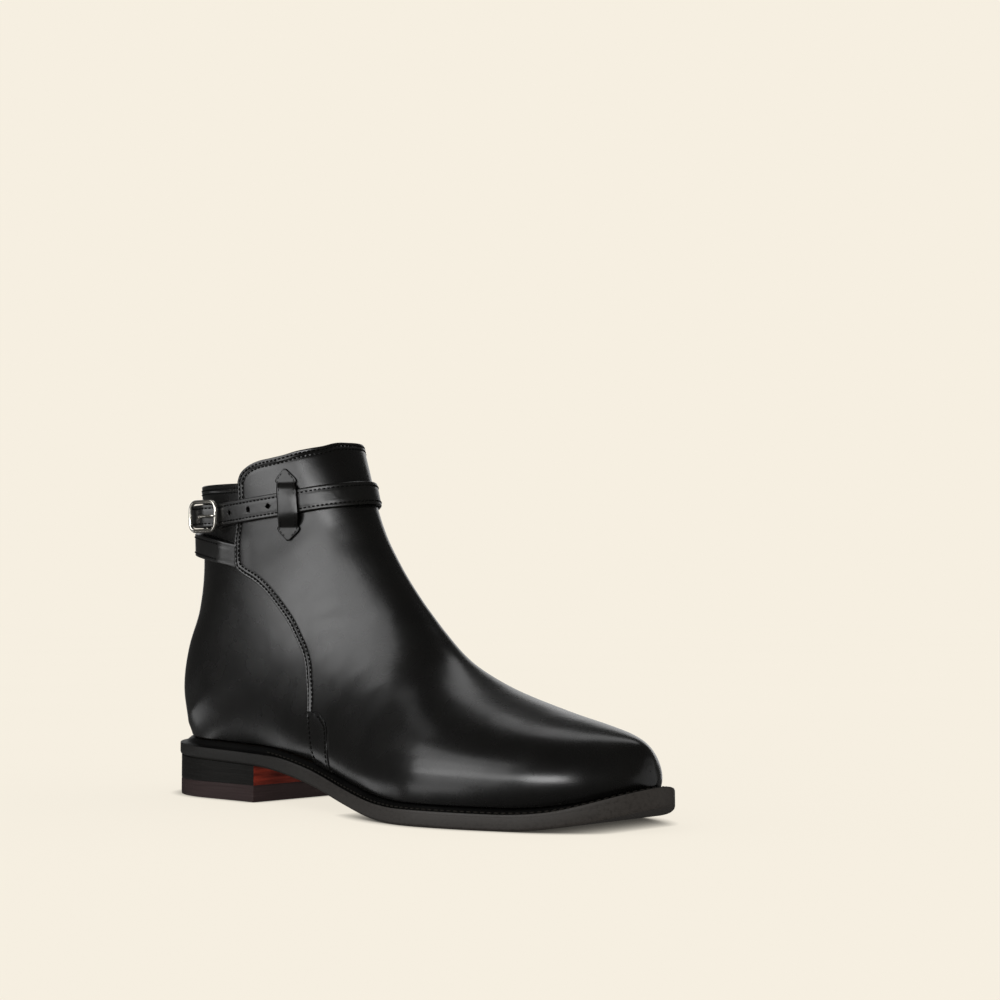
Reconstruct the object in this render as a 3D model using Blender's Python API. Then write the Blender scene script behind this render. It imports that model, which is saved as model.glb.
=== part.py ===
"""Buckle boot for the right foot: separate closed pieces, in metres.

X runs from heel to toe, Y to the inner side of the foot and Z up from the floor.
The shape is worked out with x counted from the back of the sole; one parent moves it
so that the origin lies on the floor in the middle of the sole.
"""

import math
from collections import namedtuple

import bmesh
import bpy
import numpy as np

MM = 0.001
MERGE = 0.01 * MM
SLIVER = 0.001 * MM

# Driving sizes
SOLE_LENGTH = 302 * MM
GAP = 0.3 * MM
FEATHER_GAP = 0.5 * MM
WALL = 2.2 * MM

# Sole, from the floor up
TOP_PIECE_THICK = 8.1 * MM
HEEL_RISE_BACK = 20.3 * MM
HEEL_RISE_BREAST = 17.6 * MM
BREAST_X = 80 * MM
FLAT_START_X = 202 * MM
FLAT_END_X = 248 * MM
TOE_SPRING = 10.2 * MM
TOE_SPRING_POWER = 2.1
OUTSOLE_THICK = 5.6 * MM
WELT_THICK = 3.3 * MM
INSOLE_THICK = 3.0 * MM
HEEL_INSET = 0.6 * MM
WELT_INSET = 0.4 * MM
FEATHER_INSET = 5.0 * MM
FEATHER_END = 6.0 * MM
HEEL_FEATHER_END = 3.8 * MM
WELT_INNER_INSET = 13 * MM
INSOLE_CLEAR = WALL + 1.5 * MM
INSOLE_INSET = FEATHER_INSET + INSOLE_CLEAR
INSOLE_END = FEATHER_END + INSOLE_CLEAR
WIDEST_INSET = 2.6 * MM
WIDEST_END = 6.4 * MM
SOLE_STEPS = 44
HEEL_STEPS = 16
HEEL_CROWD = 1.8

# Plan of the sole: share of the length, middle line and half width without the rounded ends
Plan = namedtuple("Plan", "share centre half")
SOLE_PLAN = [
    Plan(0.00, 0.0, 33.0),
    Plan(0.13, 0.0, 33.8),
    Plan(0.26, -0.5, 32.5),
    Plan(0.40, -3.5, 33.0),
    Plan(0.52, -4.5, 40.0),
    Plan(0.62, -3.5, 48.5),
    Plan(0.69, -2.0, 51.5),
    Plan(0.77, 0.5, 49.0),
    Plan(0.86, 3.5, 42.0),
    Plan(0.94, 5.5, 35.5),
    Plan(1.00, 6.5, 31.0),
]
HEEL_ROUND = 41 * MM
TOE_ROUND = 45 * MM
ROUND_POWER = 2.1

# Sections of the upper: each lies in the plane from a base point to a point on the front ridge.
# The step counts along the base: 0 to 1 down the toe, 1 to 2 along the sole, above 2 up the back.
Section = namedtuple("Section", "step front_x front_z crest spread widest crown seat")
SECTIONS = [
    Section(0.00, 295.6, 25.0, 6.5, 1.00, 0.45, 2.1, 2.0),
    Section(0.40, 294.8, 29.4, 6.5, 1.00, 0.42, 2.1, 2.0),
    Section(0.80, 293.2, 34.2, 6.5, 1.00, 0.40, 2.1, 2.0),
    Section(1.00, 290.4, 37.2, 6.4, 1.00, 0.38, 2.1, 2.0),
    Section(1.10, 281.8, 40.2, 6.0, 1.00, 0.34, 2.1, 2.0),
    Section(1.20, 262.0, 44.5, 5.0, 1.00, 0.32, 2.0, 2.0),
    Section(1.30, 236.0, 50.2, 3.5, 1.00, 0.30, 1.9, 2.0),
    Section(1.40, 208.0, 59.0, 2.2, 1.00, 0.28, 1.7, 2.0),
    Section(1.50, 187.2, 70.2, 1.5, 1.00, 0.27, 1.6, 2.0),
    Section(1.60, 173.2, 83.4, 1.0, 1.02, 0.28, 1.6, 2.0),
    Section(1.70, 162.0, 95.0, 0.6, 1.04, 0.30, 1.6, 2.1),
    Section(1.80, 154.4, 103.5, 0.3, 1.04, 0.335, 1.65, 3.0),
    Section(1.90, 148.0, 111.0, 0.1, 1.04, 0.35, 1.7, 2.9),
    Section(2.00, 143.4, 117.0, 0.0, 1.04, 0.368, 1.7, 2.85),
    Section(2.20, 135.6, 127.5, 0.0, 1.04, 0.372, 1.75, 2.85),
    Section(2.40, 129.8, 137.0, 0.0, 1.04, 0.388, 1.8, 2.7),
    Section(2.60, 124.5, 147.0, 0.0, 1.05, 0.425, 1.85, 2.3),
    Section(2.80, 118.8, 160.5, 0.0, 1.07, 0.45, 1.9, 2.2),
    Section(3.00, 111.8, 176.0, 0.0, 1.09, 0.46, 2.0, 2.1),
    Section(3.20, 108.0, 190.0, 0.0, 1.10, 0.46, 2.0, 2.1),
]

# Line of the back, from the sole to above the collar
Back = namedtuple("Back", "step x z")
BACK_LINE = [
    Back(2.00, 3.8, 29.8),
    Back(2.20, 0.9, 47.0),
    Back(2.40, 4.0, 66.0),
    Back(2.60, 11.2, 86.0),
    Back(2.80, 15.0, 112.0),
    Back(3.00, 13.6, 147.5),
    Back(3.20, 12.6, 164.0),
]
TOE_NOSE_Z = 25 * MM
TOE_ROWS = 5
TOE_CROWD = 0.7
SOLE_ROWS = 24
BACK_ROWS = 16
UPPER_COLUMNS = 36
BASE_CROWD = 1.3
FINE_SIDE = 48
WIDEST_LEAST = 1.004

# Step at the heel corner, where the sole ends and the back begins
CORNER_STEP = 2

# Collar: the rear edge is level, the front edge climbs to the ridge
REAR_COLLAR_Z = 155.3 * MM
Collar = namedtuple("Collar", "x z")
FRONT_COLLAR = [
    Collar(66.7, 155.5),
    Collar(67.4, 157.6),
    Collar(68.3, 159.5),
    Collar(69.4, 160.9),
    Collar(71.2, 162.3),
    Collar(74.5, 164.1),
    Collar(79.5, 165.8),
    Collar(86.5, 167.1),
    Collar(93.3, 168.6),
    Collar(98.5, 170.3),
    Collar(104.0, 171.7),
    Collar(108.0, 172.8),
    Collar(111.9, 174.8),
]
CUT_REACH = 90 * MM

# Straps and keepers are placed by turn round the ankle, 0 at the back, a quarter on the inner side,
# a half in front, and by height and lift off the leather
AXIS_X = 64 * MM
ANKLE_STEP = 1.85
ANKLE_LOW = 112 * MM
ANKLE_HIGH = 168 * MM
ANKLE_LEVELS = 29
ANKLE_TURNS = 144
MEAN_RADIUS = 40 * MM
STRAP_WIDTH = 11.4 * MM
STRAP_THICK = 2.4 * MM
STRAP_STEPS = 96
STRAP_COLUMNS = 5
TIP_LENGTH = 9 * MM
TIP_SHARE = 0.35
BUCKLE_STRAP_THICK = 1.8 * MM
BUCKLE_STRAP_STEPS = 22
KEEPER_THICK = 1.4 * MM
Stop = namedtuple("Stop", "turn z lift")
WRAP_STRAP = [
    Stop(-0.248, 119.7, 0.4),
    Stop(-0.196, 122.2, 0.6),
    Stop(-0.125, 125.0, 1.4),
    Stop(0.000, 128.0, 0.8),
    Stop(0.120, 131.5, 0.4),
    Stop(0.250, 137.0, 0.4),
    Stop(0.390, 145.5, 0.4),
    Stop(0.490, 150.0, 0.4),
    Stop(0.553, 147.8, 0.4),
    Stop(0.608, 144.8, 0.4),
    Stop(0.702, 141.8, 0.4),
    Stop(0.782, 140.1, 0.4),
    Stop(0.7952, 139.8, 0.5),
    Stop(0.8244, 139.5, 4.15),
    Stop(0.8422, 139.4, 4.5),
    Stop(0.8563, 139.4, 4.6),
    Stop(0.8756, 139.5, 4.3),
    Stop(0.8917, 139.7, 3.8),
]
BUCKLE_STRAP = [
    Stop(0.8367, 139.4, 2.1),
    Stop(0.8483, 139.4, 2.25),
    Stop(0.8635, 139.5, 2.05),
    Stop(0.8826, 139.7, 1.45),
    Stop(0.920, 140.2, 0.7),
    Stop(0.950, 140.8, 0.5),
    Stop(1.020, 142.2, 0.4),
]

# Each keeper stands on a turn and leans along the strap, by turns for each mm of rise
KEEPER_TURN = 0.6095
KEEPER_DROP = 0.7 * MM
KEEPER_LEAN = 0.0002
Loop = namedtuple("Loop", "rise lift half")
KEEPER = [
    Loop(-17.5, 0.4, 0.6),
    Loop(-11.2, 0.4, 4.9),
    Loop(-10.4, 0.8, 4.2),
    Loop(-8.7, 2.6, 4.2),
    Loop(-7.4, 3.3, 4.2),
    Loop(7.4, 3.3, 4.2),
    Loop(8.7, 2.6, 4.2),
    Loop(10.4, 0.8, 4.2),
    Loop(11.2, 0.4, 4.9),
    Loop(17.5, 0.4, 0.6),
]

# Buckle: a flat wire frame beside the ankle, with a lower centre bar that the strap passes over
BUCKLE_X = 45.65 * MM
BUCKLE_Y = -37.2 * MM
BUCKLE_Z = 139.4 * MM
BUCKLE_LENGTH = 19.5 * MM
BUCKLE_HEIGHT = 14.4 * MM
BUCKLE_CORNER = 4 * MM
WIRE = 2 * MM
BAR_WIRE = 1.4 * MM
BAR_Y = -34.25 * MM
PRONG_ROOT_Y = -38.55 * MM
PRONG_TIP_Y = -39.1 * MM
PRONG_WIRE = 1.5 * MM
WIRE_SIDES = 10
CORNER_STEPS = 6

# Colours and roughness
Finish = namedtuple("Finish", "colour rough metal")
SOLE_FINISH = Finish((0.012, 0.011, 0.010), 0.50, 0)
HEEL_FINISH = Finish((0.015, 0.012, 0.011), 0.50, 0)
TOP_PIECE_FINISH = Finish((0.030, 0.008, 0.006), 0.45, 0)
WELT_FINISH = Finish((0.014, 0.013, 0.012), 0.50, 0)
INSOLE_FINISH = Finish((0.250, 0.140, 0.070), 0.70, 0)
LEATHER_FINISH = Finish((0.010, 0.0095, 0.009), 0.35, 0)
STRAP_FINISH = Finish((0.011, 0.010, 0.0095), 0.38, 0)
NICKEL_FINISH = Finish((0.750, 0.730, 0.680), 0.20, 1)


def smooth(knots, values, at):
    """Value at any place on a smooth curve through the rows of a table, without overshoot."""
    knots = np.asarray(knots, float)
    values = np.asarray(values, float)
    at = np.asarray(at, float)
    lean = np.diff(values) / np.diff(knots)
    limit = 3 * np.minimum(np.abs(lean[:-1]), np.abs(lean[1:]))
    slope = np.gradient(values, knots)
    slope[1:-1] = np.where(lean[:-1] * lean[1:] > 0, np.clip(slope[1:-1], -limit, limit), 0)
    cell = np.clip(np.searchsorted(knots, at, side="right") - 1, 0, len(knots) - 2)
    span = knots[cell + 1] - knots[cell]
    s = (at - knots[cell]) / span
    rise = values[cell + 1] - values[cell]
    start = span * slope[cell] * s * (1 - s) ** 2
    end = span * slope[cell + 1] * s**2 * (s - 1)
    return values[cell] + rise * s * s * (3 - 2 * s) + start + end


def column(rows, name, at, knot="step", scale=1.0):
    """One named column of a table, read at any place between its rows."""
    knots = [getattr(row, knot) for row in rows]
    return scale * smooth(knots, [getattr(row, name) for row in rows], at)


def rounded(distance, reach):
    """Factor that closes a width in a round end over the given reach."""
    inside = np.clip(distance / reach, 0, 1)
    return np.sqrt(1 - (1 - inside) ** ROUND_POWER)


def plan_centre(x):
    """Middle line of the sole seen from above."""
    return column(SOLE_PLAN, "centre", np.clip(x / SOLE_LENGTH, 0, 1), "share", MM)


def plan_half(x, inset, end=None, toe_end=None):
    """Half width of the outline that lies inset inside the sole's edge, and end inside its ends."""
    end = inset if end is None else end
    toe_end = end if toe_end is None else toe_end
    body = column(SOLE_PLAN, "half", np.clip(x / SOLE_LENGTH, 0, 1), "share", MM) - inset
    heel = rounded(x - end, HEEL_ROUND)
    toe = rounded(SOLE_LENGTH - toe_end - x, TOE_ROUND)
    return body * heel * toe


def sole_bottom(x):
    """Height of the underside of the outsole above the floor."""
    x = np.asarray(x, float)
    heel_slope = (HEEL_RISE_BREAST - HEEL_RISE_BACK) / BREAST_X
    seat = HEEL_RISE_BACK + heel_slope * x
    span = FLAT_START_X - BREAST_X
    s = np.clip((x - BREAST_X) / span, 0, 1)
    shank = HEEL_RISE_BREAST * (1 - s * s * (3 - 2 * s)) + heel_slope * span * s * (1 - s) ** 2
    toe = np.clip((x - FLAT_END_X) / (SOLE_LENGTH - FLAT_END_X), 0, None)
    return np.where(x < BREAST_X, seat, shank) + TOE_SPRING * toe**TOE_SPRING_POWER


def outsole_top(x):
    return sole_bottom(x) + OUTSOLE_THICK


def welt_bottom(x):
    return outsole_top(x) + GAP


def welt_top(x):
    return welt_bottom(x) + WELT_THICK


def feather(x):
    """Height of the line where the upper meets the welt."""
    return welt_top(x) + FEATHER_GAP


def stations(low, high, count):
    """Places along X, closer together towards both ends."""
    turn = np.linspace(0, math.pi, count)
    return low + (high - low) * (1 - np.cos(turn)) / 2


def base_point(step):
    """Lower end of the section at each step: down the toe, along the sole, up the back."""
    step = np.asarray(step, float)
    tip_x = SOLE_LENGTH - FEATHER_END
    along = (1 - np.cos(math.pi * np.clip(step - 1, 0, 1))) / 2
    sole_x = tip_x + (HEEL_FEATHER_END - tip_x) * along
    nose_x = SOLE_LENGTH - WIDEST_END
    drop = np.clip(step, 0, 1)
    toe_x = nose_x + (tip_x - nose_x) * drop**2
    toe_z = TOE_NOSE_Z + (feather(tip_x) - TOE_NOSE_Z) * drop
    back_x = column(BACK_LINE, "x", np.clip(step, 2, None), scale=MM)
    back_z = column(BACK_LINE, "z", np.clip(step, 2, None), scale=MM)
    x = np.where(step < 1, toe_x, np.where(step <= 2, sole_x, back_x))
    z = np.where(step < 1, toe_z, np.where(step <= 2, feather(sole_x), back_z))
    return x, z


def side_curve(length, base_half, widest_half, widest, crown, seat):
    """Half a section from base to ridge: distance up the section and half width."""
    turn = np.linspace(0, math.pi / 2, FINE_SIDE)
    middle = widest * length
    share = np.clip(base_half / widest_half, 0, 1)
    reach = middle / (1 - share**2) ** (1 / seat)
    low_turn = math.acos(share)
    low = np.linspace(low_turn, 0, FINE_SIDE)
    low_up = middle - reach * np.sin(low) ** (2 / seat)
    high_up = middle + (length - middle) * np.sin(turn) ** (2 / crown)
    up = np.concatenate([low_up, high_up[1:]])
    half = widest_half * np.concatenate([np.cos(low), np.cos(turn[1:])])
    half[-1] = 0
    return up, half


def section(step, count):
    """Points of one section from the outer base over the ridge to the inner base."""
    base_x, base_z = (float(v) for v in base_point(step))
    front_x = float(column(SECTIONS, "front_x", step, scale=MM))
    front_z = float(column(SECTIONS, "front_z", step, scale=MM))
    crest = float(column(SECTIONS, "crest", step, scale=MM))
    widest = float(column(SECTIONS, "widest", step))
    length = max(math.hypot(front_x - base_x, front_z - base_z), SLIVER)
    widest_x = base_x + widest * (front_x - base_x)
    spread = float(column(SECTIONS, "spread", step))
    widest_half = spread * float(plan_half(widest_x, WIDEST_INSET, WIDEST_END))
    open_base = 1 < step < 2
    base_half = float(plan_half(base_x, FEATHER_INSET, HEEL_FEATHER_END, FEATHER_END)) if open_base else 0.0
    widest_half = max(widest_half, base_half * WIDEST_LEAST, SLIVER)
    crown = float(column(SECTIONS, "crown", step))
    seat = float(column(SECTIONS, "seat", step))
    up, half = side_curve(length, base_half, widest_half, widest, crown, seat)
    walk = np.concatenate([[0], np.cumsum(np.hypot(np.diff(up), np.diff(half)))])
    even = walk[-1] * np.linspace(0, 1, count // 2 + 1) ** BASE_CROWD
    up = np.interp(even, walk, up) / length
    half = np.interp(even, walk, half)
    middle = plan_centre(base_x) + (crest - plan_centre(base_x)) * up
    outer = np.stack([base_x + (front_x - base_x) * up, middle - half, base_z + (front_z - base_z) * up], 1)
    inner = np.stack([outer[:, 0], middle + half, outer[:, 2]], 1)
    return np.concatenate([outer, inner[-2::-1]])


def upper_steps():
    """Steps of the sections: down the toe, along the sole and up the back."""
    toe = np.linspace(0, 1, TOE_ROWS) ** TOE_CROWD
    sole = np.linspace(1, CORNER_STEP, SOLE_ROWS)
    back = np.linspace(CORNER_STEP, SECTIONS[-1].step, BACK_ROWS)
    return np.concatenate([toe, sole[1:], back[1:]])


def new_object(name, mesh, material, parent):
    """Named object with its own material, hung on the boot's frame."""
    item = bpy.data.objects.new(name, mesh)
    mesh.materials.append(material)
    bpy.context.scene.collection.objects.link(item)
    item.parent = parent
    return item


def mesh_of(name, points, faces, closed=True):
    """Mesh with merged points; the faces of a closed one are turned outwards."""
    mesh = bpy.data.meshes.new(name)
    mesh.from_pydata([tuple(p) for p in points], [], faces)
    work = bmesh.new()
    work.from_mesh(mesh)
    bmesh.ops.remove_doubles(work, verts=work.verts, dist=MERGE)
    bmesh.ops.dissolve_degenerate(work, edges=work.edges, dist=SLIVER)
    if closed:
        bmesh.ops.recalc_face_normals(work, faces=work.faces)
    work.to_mesh(mesh)
    work.free()
    return mesh


def principled(name, finish):
    """Plain material of one sub-part."""
    material = bpy.data.materials.new(name)
    material.use_nodes = True
    shader = material.node_tree.nodes["Principled BSDF"]
    shader.inputs["Base Color"].default_value = (*finish.colour, 1)
    shader.inputs["Roughness"].default_value = finish.rough
    shader.inputs["Metallic"].default_value = finish.metal
    return material


def strip_points(x, inset, height, end=None):
    """Outer and inner edge points of a plate at each place along X."""
    middle = plan_centre(x)
    half = plan_half(x, inset, end)
    outer = np.stack([x, middle - half, height], 1)
    inner = np.stack([x, middle + half, height], 1)
    return outer, inner


def plate(name, x, inset, low, high, end=None):
    """Closed plate between two heights, with the outline of the sole inset on all sides."""
    count = len(x)
    rows = strip_points(x, inset, low, end) + strip_points(x, inset, high, end)
    points = np.concatenate(rows)
    faces = []
    for i in range(count - 1):
        low_out, low_in, high_out, high_in = (k * count + i for k in range(4))
        faces.append((low_out, low_in, low_in + 1, low_out + 1))
        faces.append((high_out, high_out + 1, high_in + 1, high_in))
        faces.append((low_out, low_out + 1, high_out + 1, high_out))
        faces.append((low_in, high_in, high_in + 1, low_in + 1))
    for i in (0, count - 1):
        faces.append(tuple(k * count + i for k in (0, 1, 3, 2)))
    return mesh_of(name, points, faces)


def loop_points(x, inset):
    """Closed outline of the sole, inset, once round."""
    outer, inner = strip_points(x, inset, np.zeros_like(x))
    return np.concatenate([outer[:-1], inner[:0:-1]])


def ring(name, outer_inset, inner_inset, low, high):
    """Closed ring between two insets of the sole's outline, following two heights."""
    outer = loop_points(stations(outer_inset, SOLE_LENGTH - outer_inset, SOLE_STEPS), outer_inset)
    inner = loop_points(stations(inner_inset, SOLE_LENGTH - inner_inset, SOLE_STEPS), inner_inset)
    count = len(outer)
    rows = []
    for loop, height in ((outer, low), (outer, high), (inner, high), (inner, low)):
        level = loop.copy()
        level[:, 2] = height(loop[:, 0])
        rows.append(level)
    faces = []
    for k in range(4):
        for i in range(count):
            j = (i + 1) % count
            m = (k + 1) % 4
            faces.append((k * count + i, k * count + j, m * count + j, m * count + i))
    return mesh_of(name, np.concatenate(rows), faces)


def build_outsole(parent):
    x = stations(0, SOLE_LENGTH, SOLE_STEPS)
    x = np.unique(np.concatenate([x, [BREAST_X, FLAT_START_X, FLAT_END_X]]))
    mesh = plate("outsole", x, 0.0, sole_bottom(x), outsole_top(x))
    return new_object("outsole", mesh, principled("sole_black", SOLE_FINISH), parent)


def heel_stations():
    """Places along the heel, close together where the back is round."""
    share = np.linspace(0, 1, HEEL_STEPS) ** HEEL_CROWD
    return HEEL_INSET + (BREAST_X - HEEL_INSET) * share


def build_heel_stack(parent):
    x = heel_stations()
    low = np.full_like(x, TOP_PIECE_THICK + GAP)
    mesh = plate("heel_stack", x, HEEL_INSET, low, sole_bottom(x) - GAP)
    return new_object("heel_stack", mesh, principled("heel_black", HEEL_FINISH), parent)


def build_heel_top_piece(parent):
    x = heel_stations()
    mesh = plate("heel_top_piece", x, HEEL_INSET, np.zeros_like(x), np.full_like(x, TOP_PIECE_THICK))
    return new_object("heel_top_piece", mesh, principled("heel_brown", TOP_PIECE_FINISH), parent)


def build_welt(parent):
    mesh = ring("welt", WELT_INSET, WELT_INNER_INSET, welt_bottom, welt_top)
    return new_object("welt", mesh, principled("welt_black", WELT_FINISH), parent)


def build_insole(parent):
    x = stations(INSOLE_END, SOLE_LENGTH - INSOLE_END, SOLE_STEPS)
    mesh = plate("insole", x, INSOLE_INSET, feather(x), feather(x) + INSOLE_THICK, INSOLE_END)
    return new_object("insole", mesh, principled("insole_tan", INSOLE_FINISH), parent)


def collar_cutter(parent):
    """Block that takes away everything above the stepped collar."""
    far_x = CUT_REACH * 2
    top_z = REAR_COLLAR_Z + CUT_REACH
    front = [(row.x * MM, row.z * MM) for row in FRONT_COLLAR]
    profile = [(-CUT_REACH, REAR_COLLAR_Z), (front[0][0], REAR_COLLAR_Z)]
    profile += front
    profile += [(far_x, front[-1][1]), (far_x, top_z), (-CUT_REACH, top_z)]
    count = len(profile)
    points = [(x, y, z) for y in (-CUT_REACH, CUT_REACH) for x, z in profile]
    faces = [tuple(range(count)), tuple(range(2 * count - 1, count - 1, -1))]
    for i in range(count):
        j = (i + 1) % count
        faces.append((i, j, count + j, count + i))
    cutter = bpy.data.objects.new("collar_cutter", mesh_of("collar_cutter", points, faces))
    bpy.context.scene.collection.objects.link(cutter)
    cutter.parent = parent
    cutter.hide_render = True
    cutter.display_type = "WIRE"
    return cutter


def build_upper(parent):
    """Hollow upper: one sheet through all sections, thickened inwards and cut at the collar."""
    steps = upper_steps()
    grid = np.stack([section(step, UPPER_COLUMNS) for step in steps])
    grid[0] = grid[0].mean(axis=0)
    rows, columns = grid.shape[:2]
    faces = []
    for i in range(rows - 1):
        for j in range(columns - 1):
            start = i * columns + j
            faces.append((start, start + 1, start + columns + 1, start + columns))
    mesh = mesh_of("upper", grid.reshape(-1, 3), faces, closed=False)
    upper = new_object("upper", mesh, principled("leather_black", LEATHER_FINISH), parent)
    wall = upper.modifiers.new("wall", "SOLIDIFY")
    wall.thickness = WALL
    wall.offset = -1
    cut = upper.modifiers.new("collar", "BOOLEAN")
    cut.operation = "DIFFERENCE"
    cut.solver = "EXACT"
    cut.object = collar_cutter(parent)
    return upper


def ankle_table():
    """Radius of the upper round the ankle axis, by height and turn."""
    steps = np.linspace(ANKLE_STEP, SECTIONS[-1].step, ANKLE_LEVELS * 2)
    grid = np.stack([section(step, ANKLE_TURNS) for step in steps])
    levels = np.linspace(ANKLE_LOW, ANKLE_HIGH, ANKLE_LEVELS)
    turns = np.linspace(0, 1, ANKLE_TURNS + 1)
    radii = []
    for level in levels:
        columns = range(grid.shape[1])
        x = np.array([np.interp(level, grid[:, k, 2], grid[:, k, 0]) for k in columns]) - AXIS_X
        y = np.array([np.interp(level, grid[:, k, 2], grid[:, k, 1]) for k in columns])
        turn = np.unwrap(np.arctan2(y, -x)[1:-1])[::-1] / (2 * math.pi)
        radius = np.hypot(x, y)[1:-1][::-1]
        turn = turn - round(turn.mean() - 0.5)
        radii.append(np.interp(turns, turn, radius, period=1))
    return levels, turns, np.array(radii)


def on_ankle(table, turn, z, lift):
    """Point at a turn and height, lifted off the leather."""
    levels, turns, radii = table
    turn = np.asarray(turn, float)
    share = np.clip((np.asarray(z) - levels[0]) / (levels[1] - levels[0]), 0, len(levels) - 1.001)
    row = share.astype(int)
    place = (turn % 1) * (len(turns) - 1)
    cell = np.minimum(place.astype(int), len(turns) - 2)
    up = share - row
    on = place - cell
    low = radii[row, cell] * (1 - on) + radii[row, cell + 1] * on
    high = radii[row + 1, cell] * (1 - on) + radii[row + 1, cell + 1] * on
    radius = low * (1 - up) + high * up + lift
    angle = 2 * math.pi * turn
    return np.stack([AXIS_X - radius * np.cos(angle), radius * np.sin(angle), z + 0 * turn], -1)


def sheet_solid(name, under, over):
    """Closed solid between an inner and an outer grid of points."""
    rows, columns = under.shape[:2]
    points = np.concatenate([under.reshape(-1, 3), over.reshape(-1, 3)])
    offset = rows * columns
    faces = []
    for i in range(rows - 1):
        for j in range(columns - 1):
            a = i * columns + j
            quad = (a, a + 1, a + columns + 1, a + columns)
            faces.append(quad)
            faces.append(tuple(offset + k for k in reversed(quad)))
    rim = list(range(columns))
    rim += [i * columns + columns - 1 for i in range(1, rows)]
    rim += [(rows - 1) * columns + j for j in range(columns - 2, -1, -1)]
    rim += [i * columns for i in range(rows - 2, 0, -1)]
    for k, a in enumerate(rim):
        b = rim[(k + 1) % len(rim)]
        faces.append((a, b, b + offset, a + offset))
    return mesh_of(name, points, faces)


def band(name, table, stops, thick, steps, tip):
    """Strap along a path of stops, its last end pointed over the given length."""
    knots = [stop.turn for stop in stops]
    turn = np.linspace(knots[0], knots[-1], steps)
    z = column(stops, "z", turn, "turn", MM)
    lift = column(stops, "lift", turn, "turn", MM)
    slope = np.gradient(z, turn * 2 * math.pi * MEAN_RADIUS)
    lean = np.arctan(slope)
    left = (knots[-1] - turn) * 2 * math.pi * MEAN_RADIUS
    narrow = np.clip(TIP_SHARE + (1 - TIP_SHARE) * left / tip, 0, 1) if tip else np.ones(steps)
    across = np.linspace(-0.5, 0.5, STRAP_COLUMNS)[None, :] * STRAP_WIDTH * narrow[:, None]
    spread = -np.sin(lean)[:, None] * across / (2 * math.pi * MEAN_RADIUS)
    height = z[:, None] + np.cos(lean)[:, None] * across
    place = turn[:, None] + spread
    under = on_ankle(table, place, height, lift[:, None])
    over = on_ankle(table, place, height, lift[:, None] + thick)
    return sheet_solid(name, under, over)


def build_wrap_strap(parent, table):
    mesh = band("wrap_strap", table, WRAP_STRAP, STRAP_THICK, STRAP_STEPS, TIP_LENGTH)
    return new_object("wrap_strap", mesh, principled("strap_black", STRAP_FINISH), parent)


def build_buckle_strap(parent, table):
    mesh = band("buckle_strap", table, BUCKLE_STRAP, BUCKLE_STRAP_THICK, BUCKLE_STRAP_STEPS, 0)
    return new_object("buckle_strap", mesh, principled("buckle_strap_black", STRAP_FINISH), parent)


def build_keeper(parent, table, name, turn, lean):
    """Loop over the strap with a pointed end above and below."""
    middle = float(column(WRAP_STRAP, "z", turn, "turn", MM)) - KEEPER_DROP
    rise = np.array([row.rise for row in KEEPER]) * MM
    lift = np.array([row.lift for row in KEEPER]) * MM
    half = np.array([row.half for row in KEEPER]) * MM
    share = np.linspace(-1, 1, STRAP_COLUMNS)[None, :]
    foot = turn + lean * rise[:, None] / MM
    place = foot + share * half[:, None] / (2 * math.pi * MEAN_RADIUS)
    height = middle + rise[:, None] + 0 * place
    under = on_ankle(table, place, height, lift[:, None])
    over = on_ankle(table, place, height, lift[:, None] + KEEPER_THICK)
    material = principled(name + "_black", STRAP_FINISH)
    return new_object(name, sheet_solid(name, under, over), material, parent)


def tube(name, path, wire, across, closed=False):
    """Round wire along a path of points; across is a direction that the path never takes."""
    path = np.asarray(path, float)
    count = len(path)
    if closed:
        along = np.roll(path, -1, axis=0) - np.roll(path, 1, axis=0)
    else:
        along = np.gradient(path, axis=0)
    side = np.cross(along, np.asarray(across, float))
    over = np.cross(side, along)
    side = side / np.linalg.norm(side, axis=1)[:, None]
    over = over / np.linalg.norm(over, axis=1)[:, None]
    angles = np.linspace(0, 2 * math.pi, WIRE_SIDES, endpoint=False)[None, :, None]
    spokes = np.cos(angles) * side[:, None, :] + np.sin(angles) * over[:, None, :]
    rings = path[:, None, :] + wire / 2 * spokes
    faces = []
    for i in range(count if closed else count - 1):
        first = i * WIRE_SIDES
        second = (i + 1) % count * WIRE_SIDES
        for k in range(WIRE_SIDES):
            j = (k + 1) % WIRE_SIDES
            faces.append((first + k, first + j, second + j, second + k))
    if not closed:
        faces.append(tuple(range(WIRE_SIDES)))
        faces.append(tuple(range((count - 1) * WIRE_SIDES, count * WIRE_SIDES)))
    return mesh_of(name, rings.reshape(-1, 3), faces)


def frame_path():
    """Middle line of the buckle's wire: a rectangle with round corners, beside the ankle."""
    points = []
    reach_x = BUCKLE_LENGTH / 2 - BUCKLE_CORNER
    reach_z = BUCKLE_HEIGHT / 2 - BUCKLE_CORNER
    for corner, (sx, sz) in enumerate(((1, 1), (-1, 1), (-1, -1), (1, -1))):
        for step in range(CORNER_STEPS + 1):
            angle = math.pi / 2 * (corner + step / CORNER_STEPS)
            x = BUCKLE_X + sx * reach_x + BUCKLE_CORNER * math.cos(angle)
            z = BUCKLE_Z + sz * reach_z + BUCKLE_CORNER * math.sin(angle)
            points.append((x, BUCKLE_Y, z))
    return points


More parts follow.
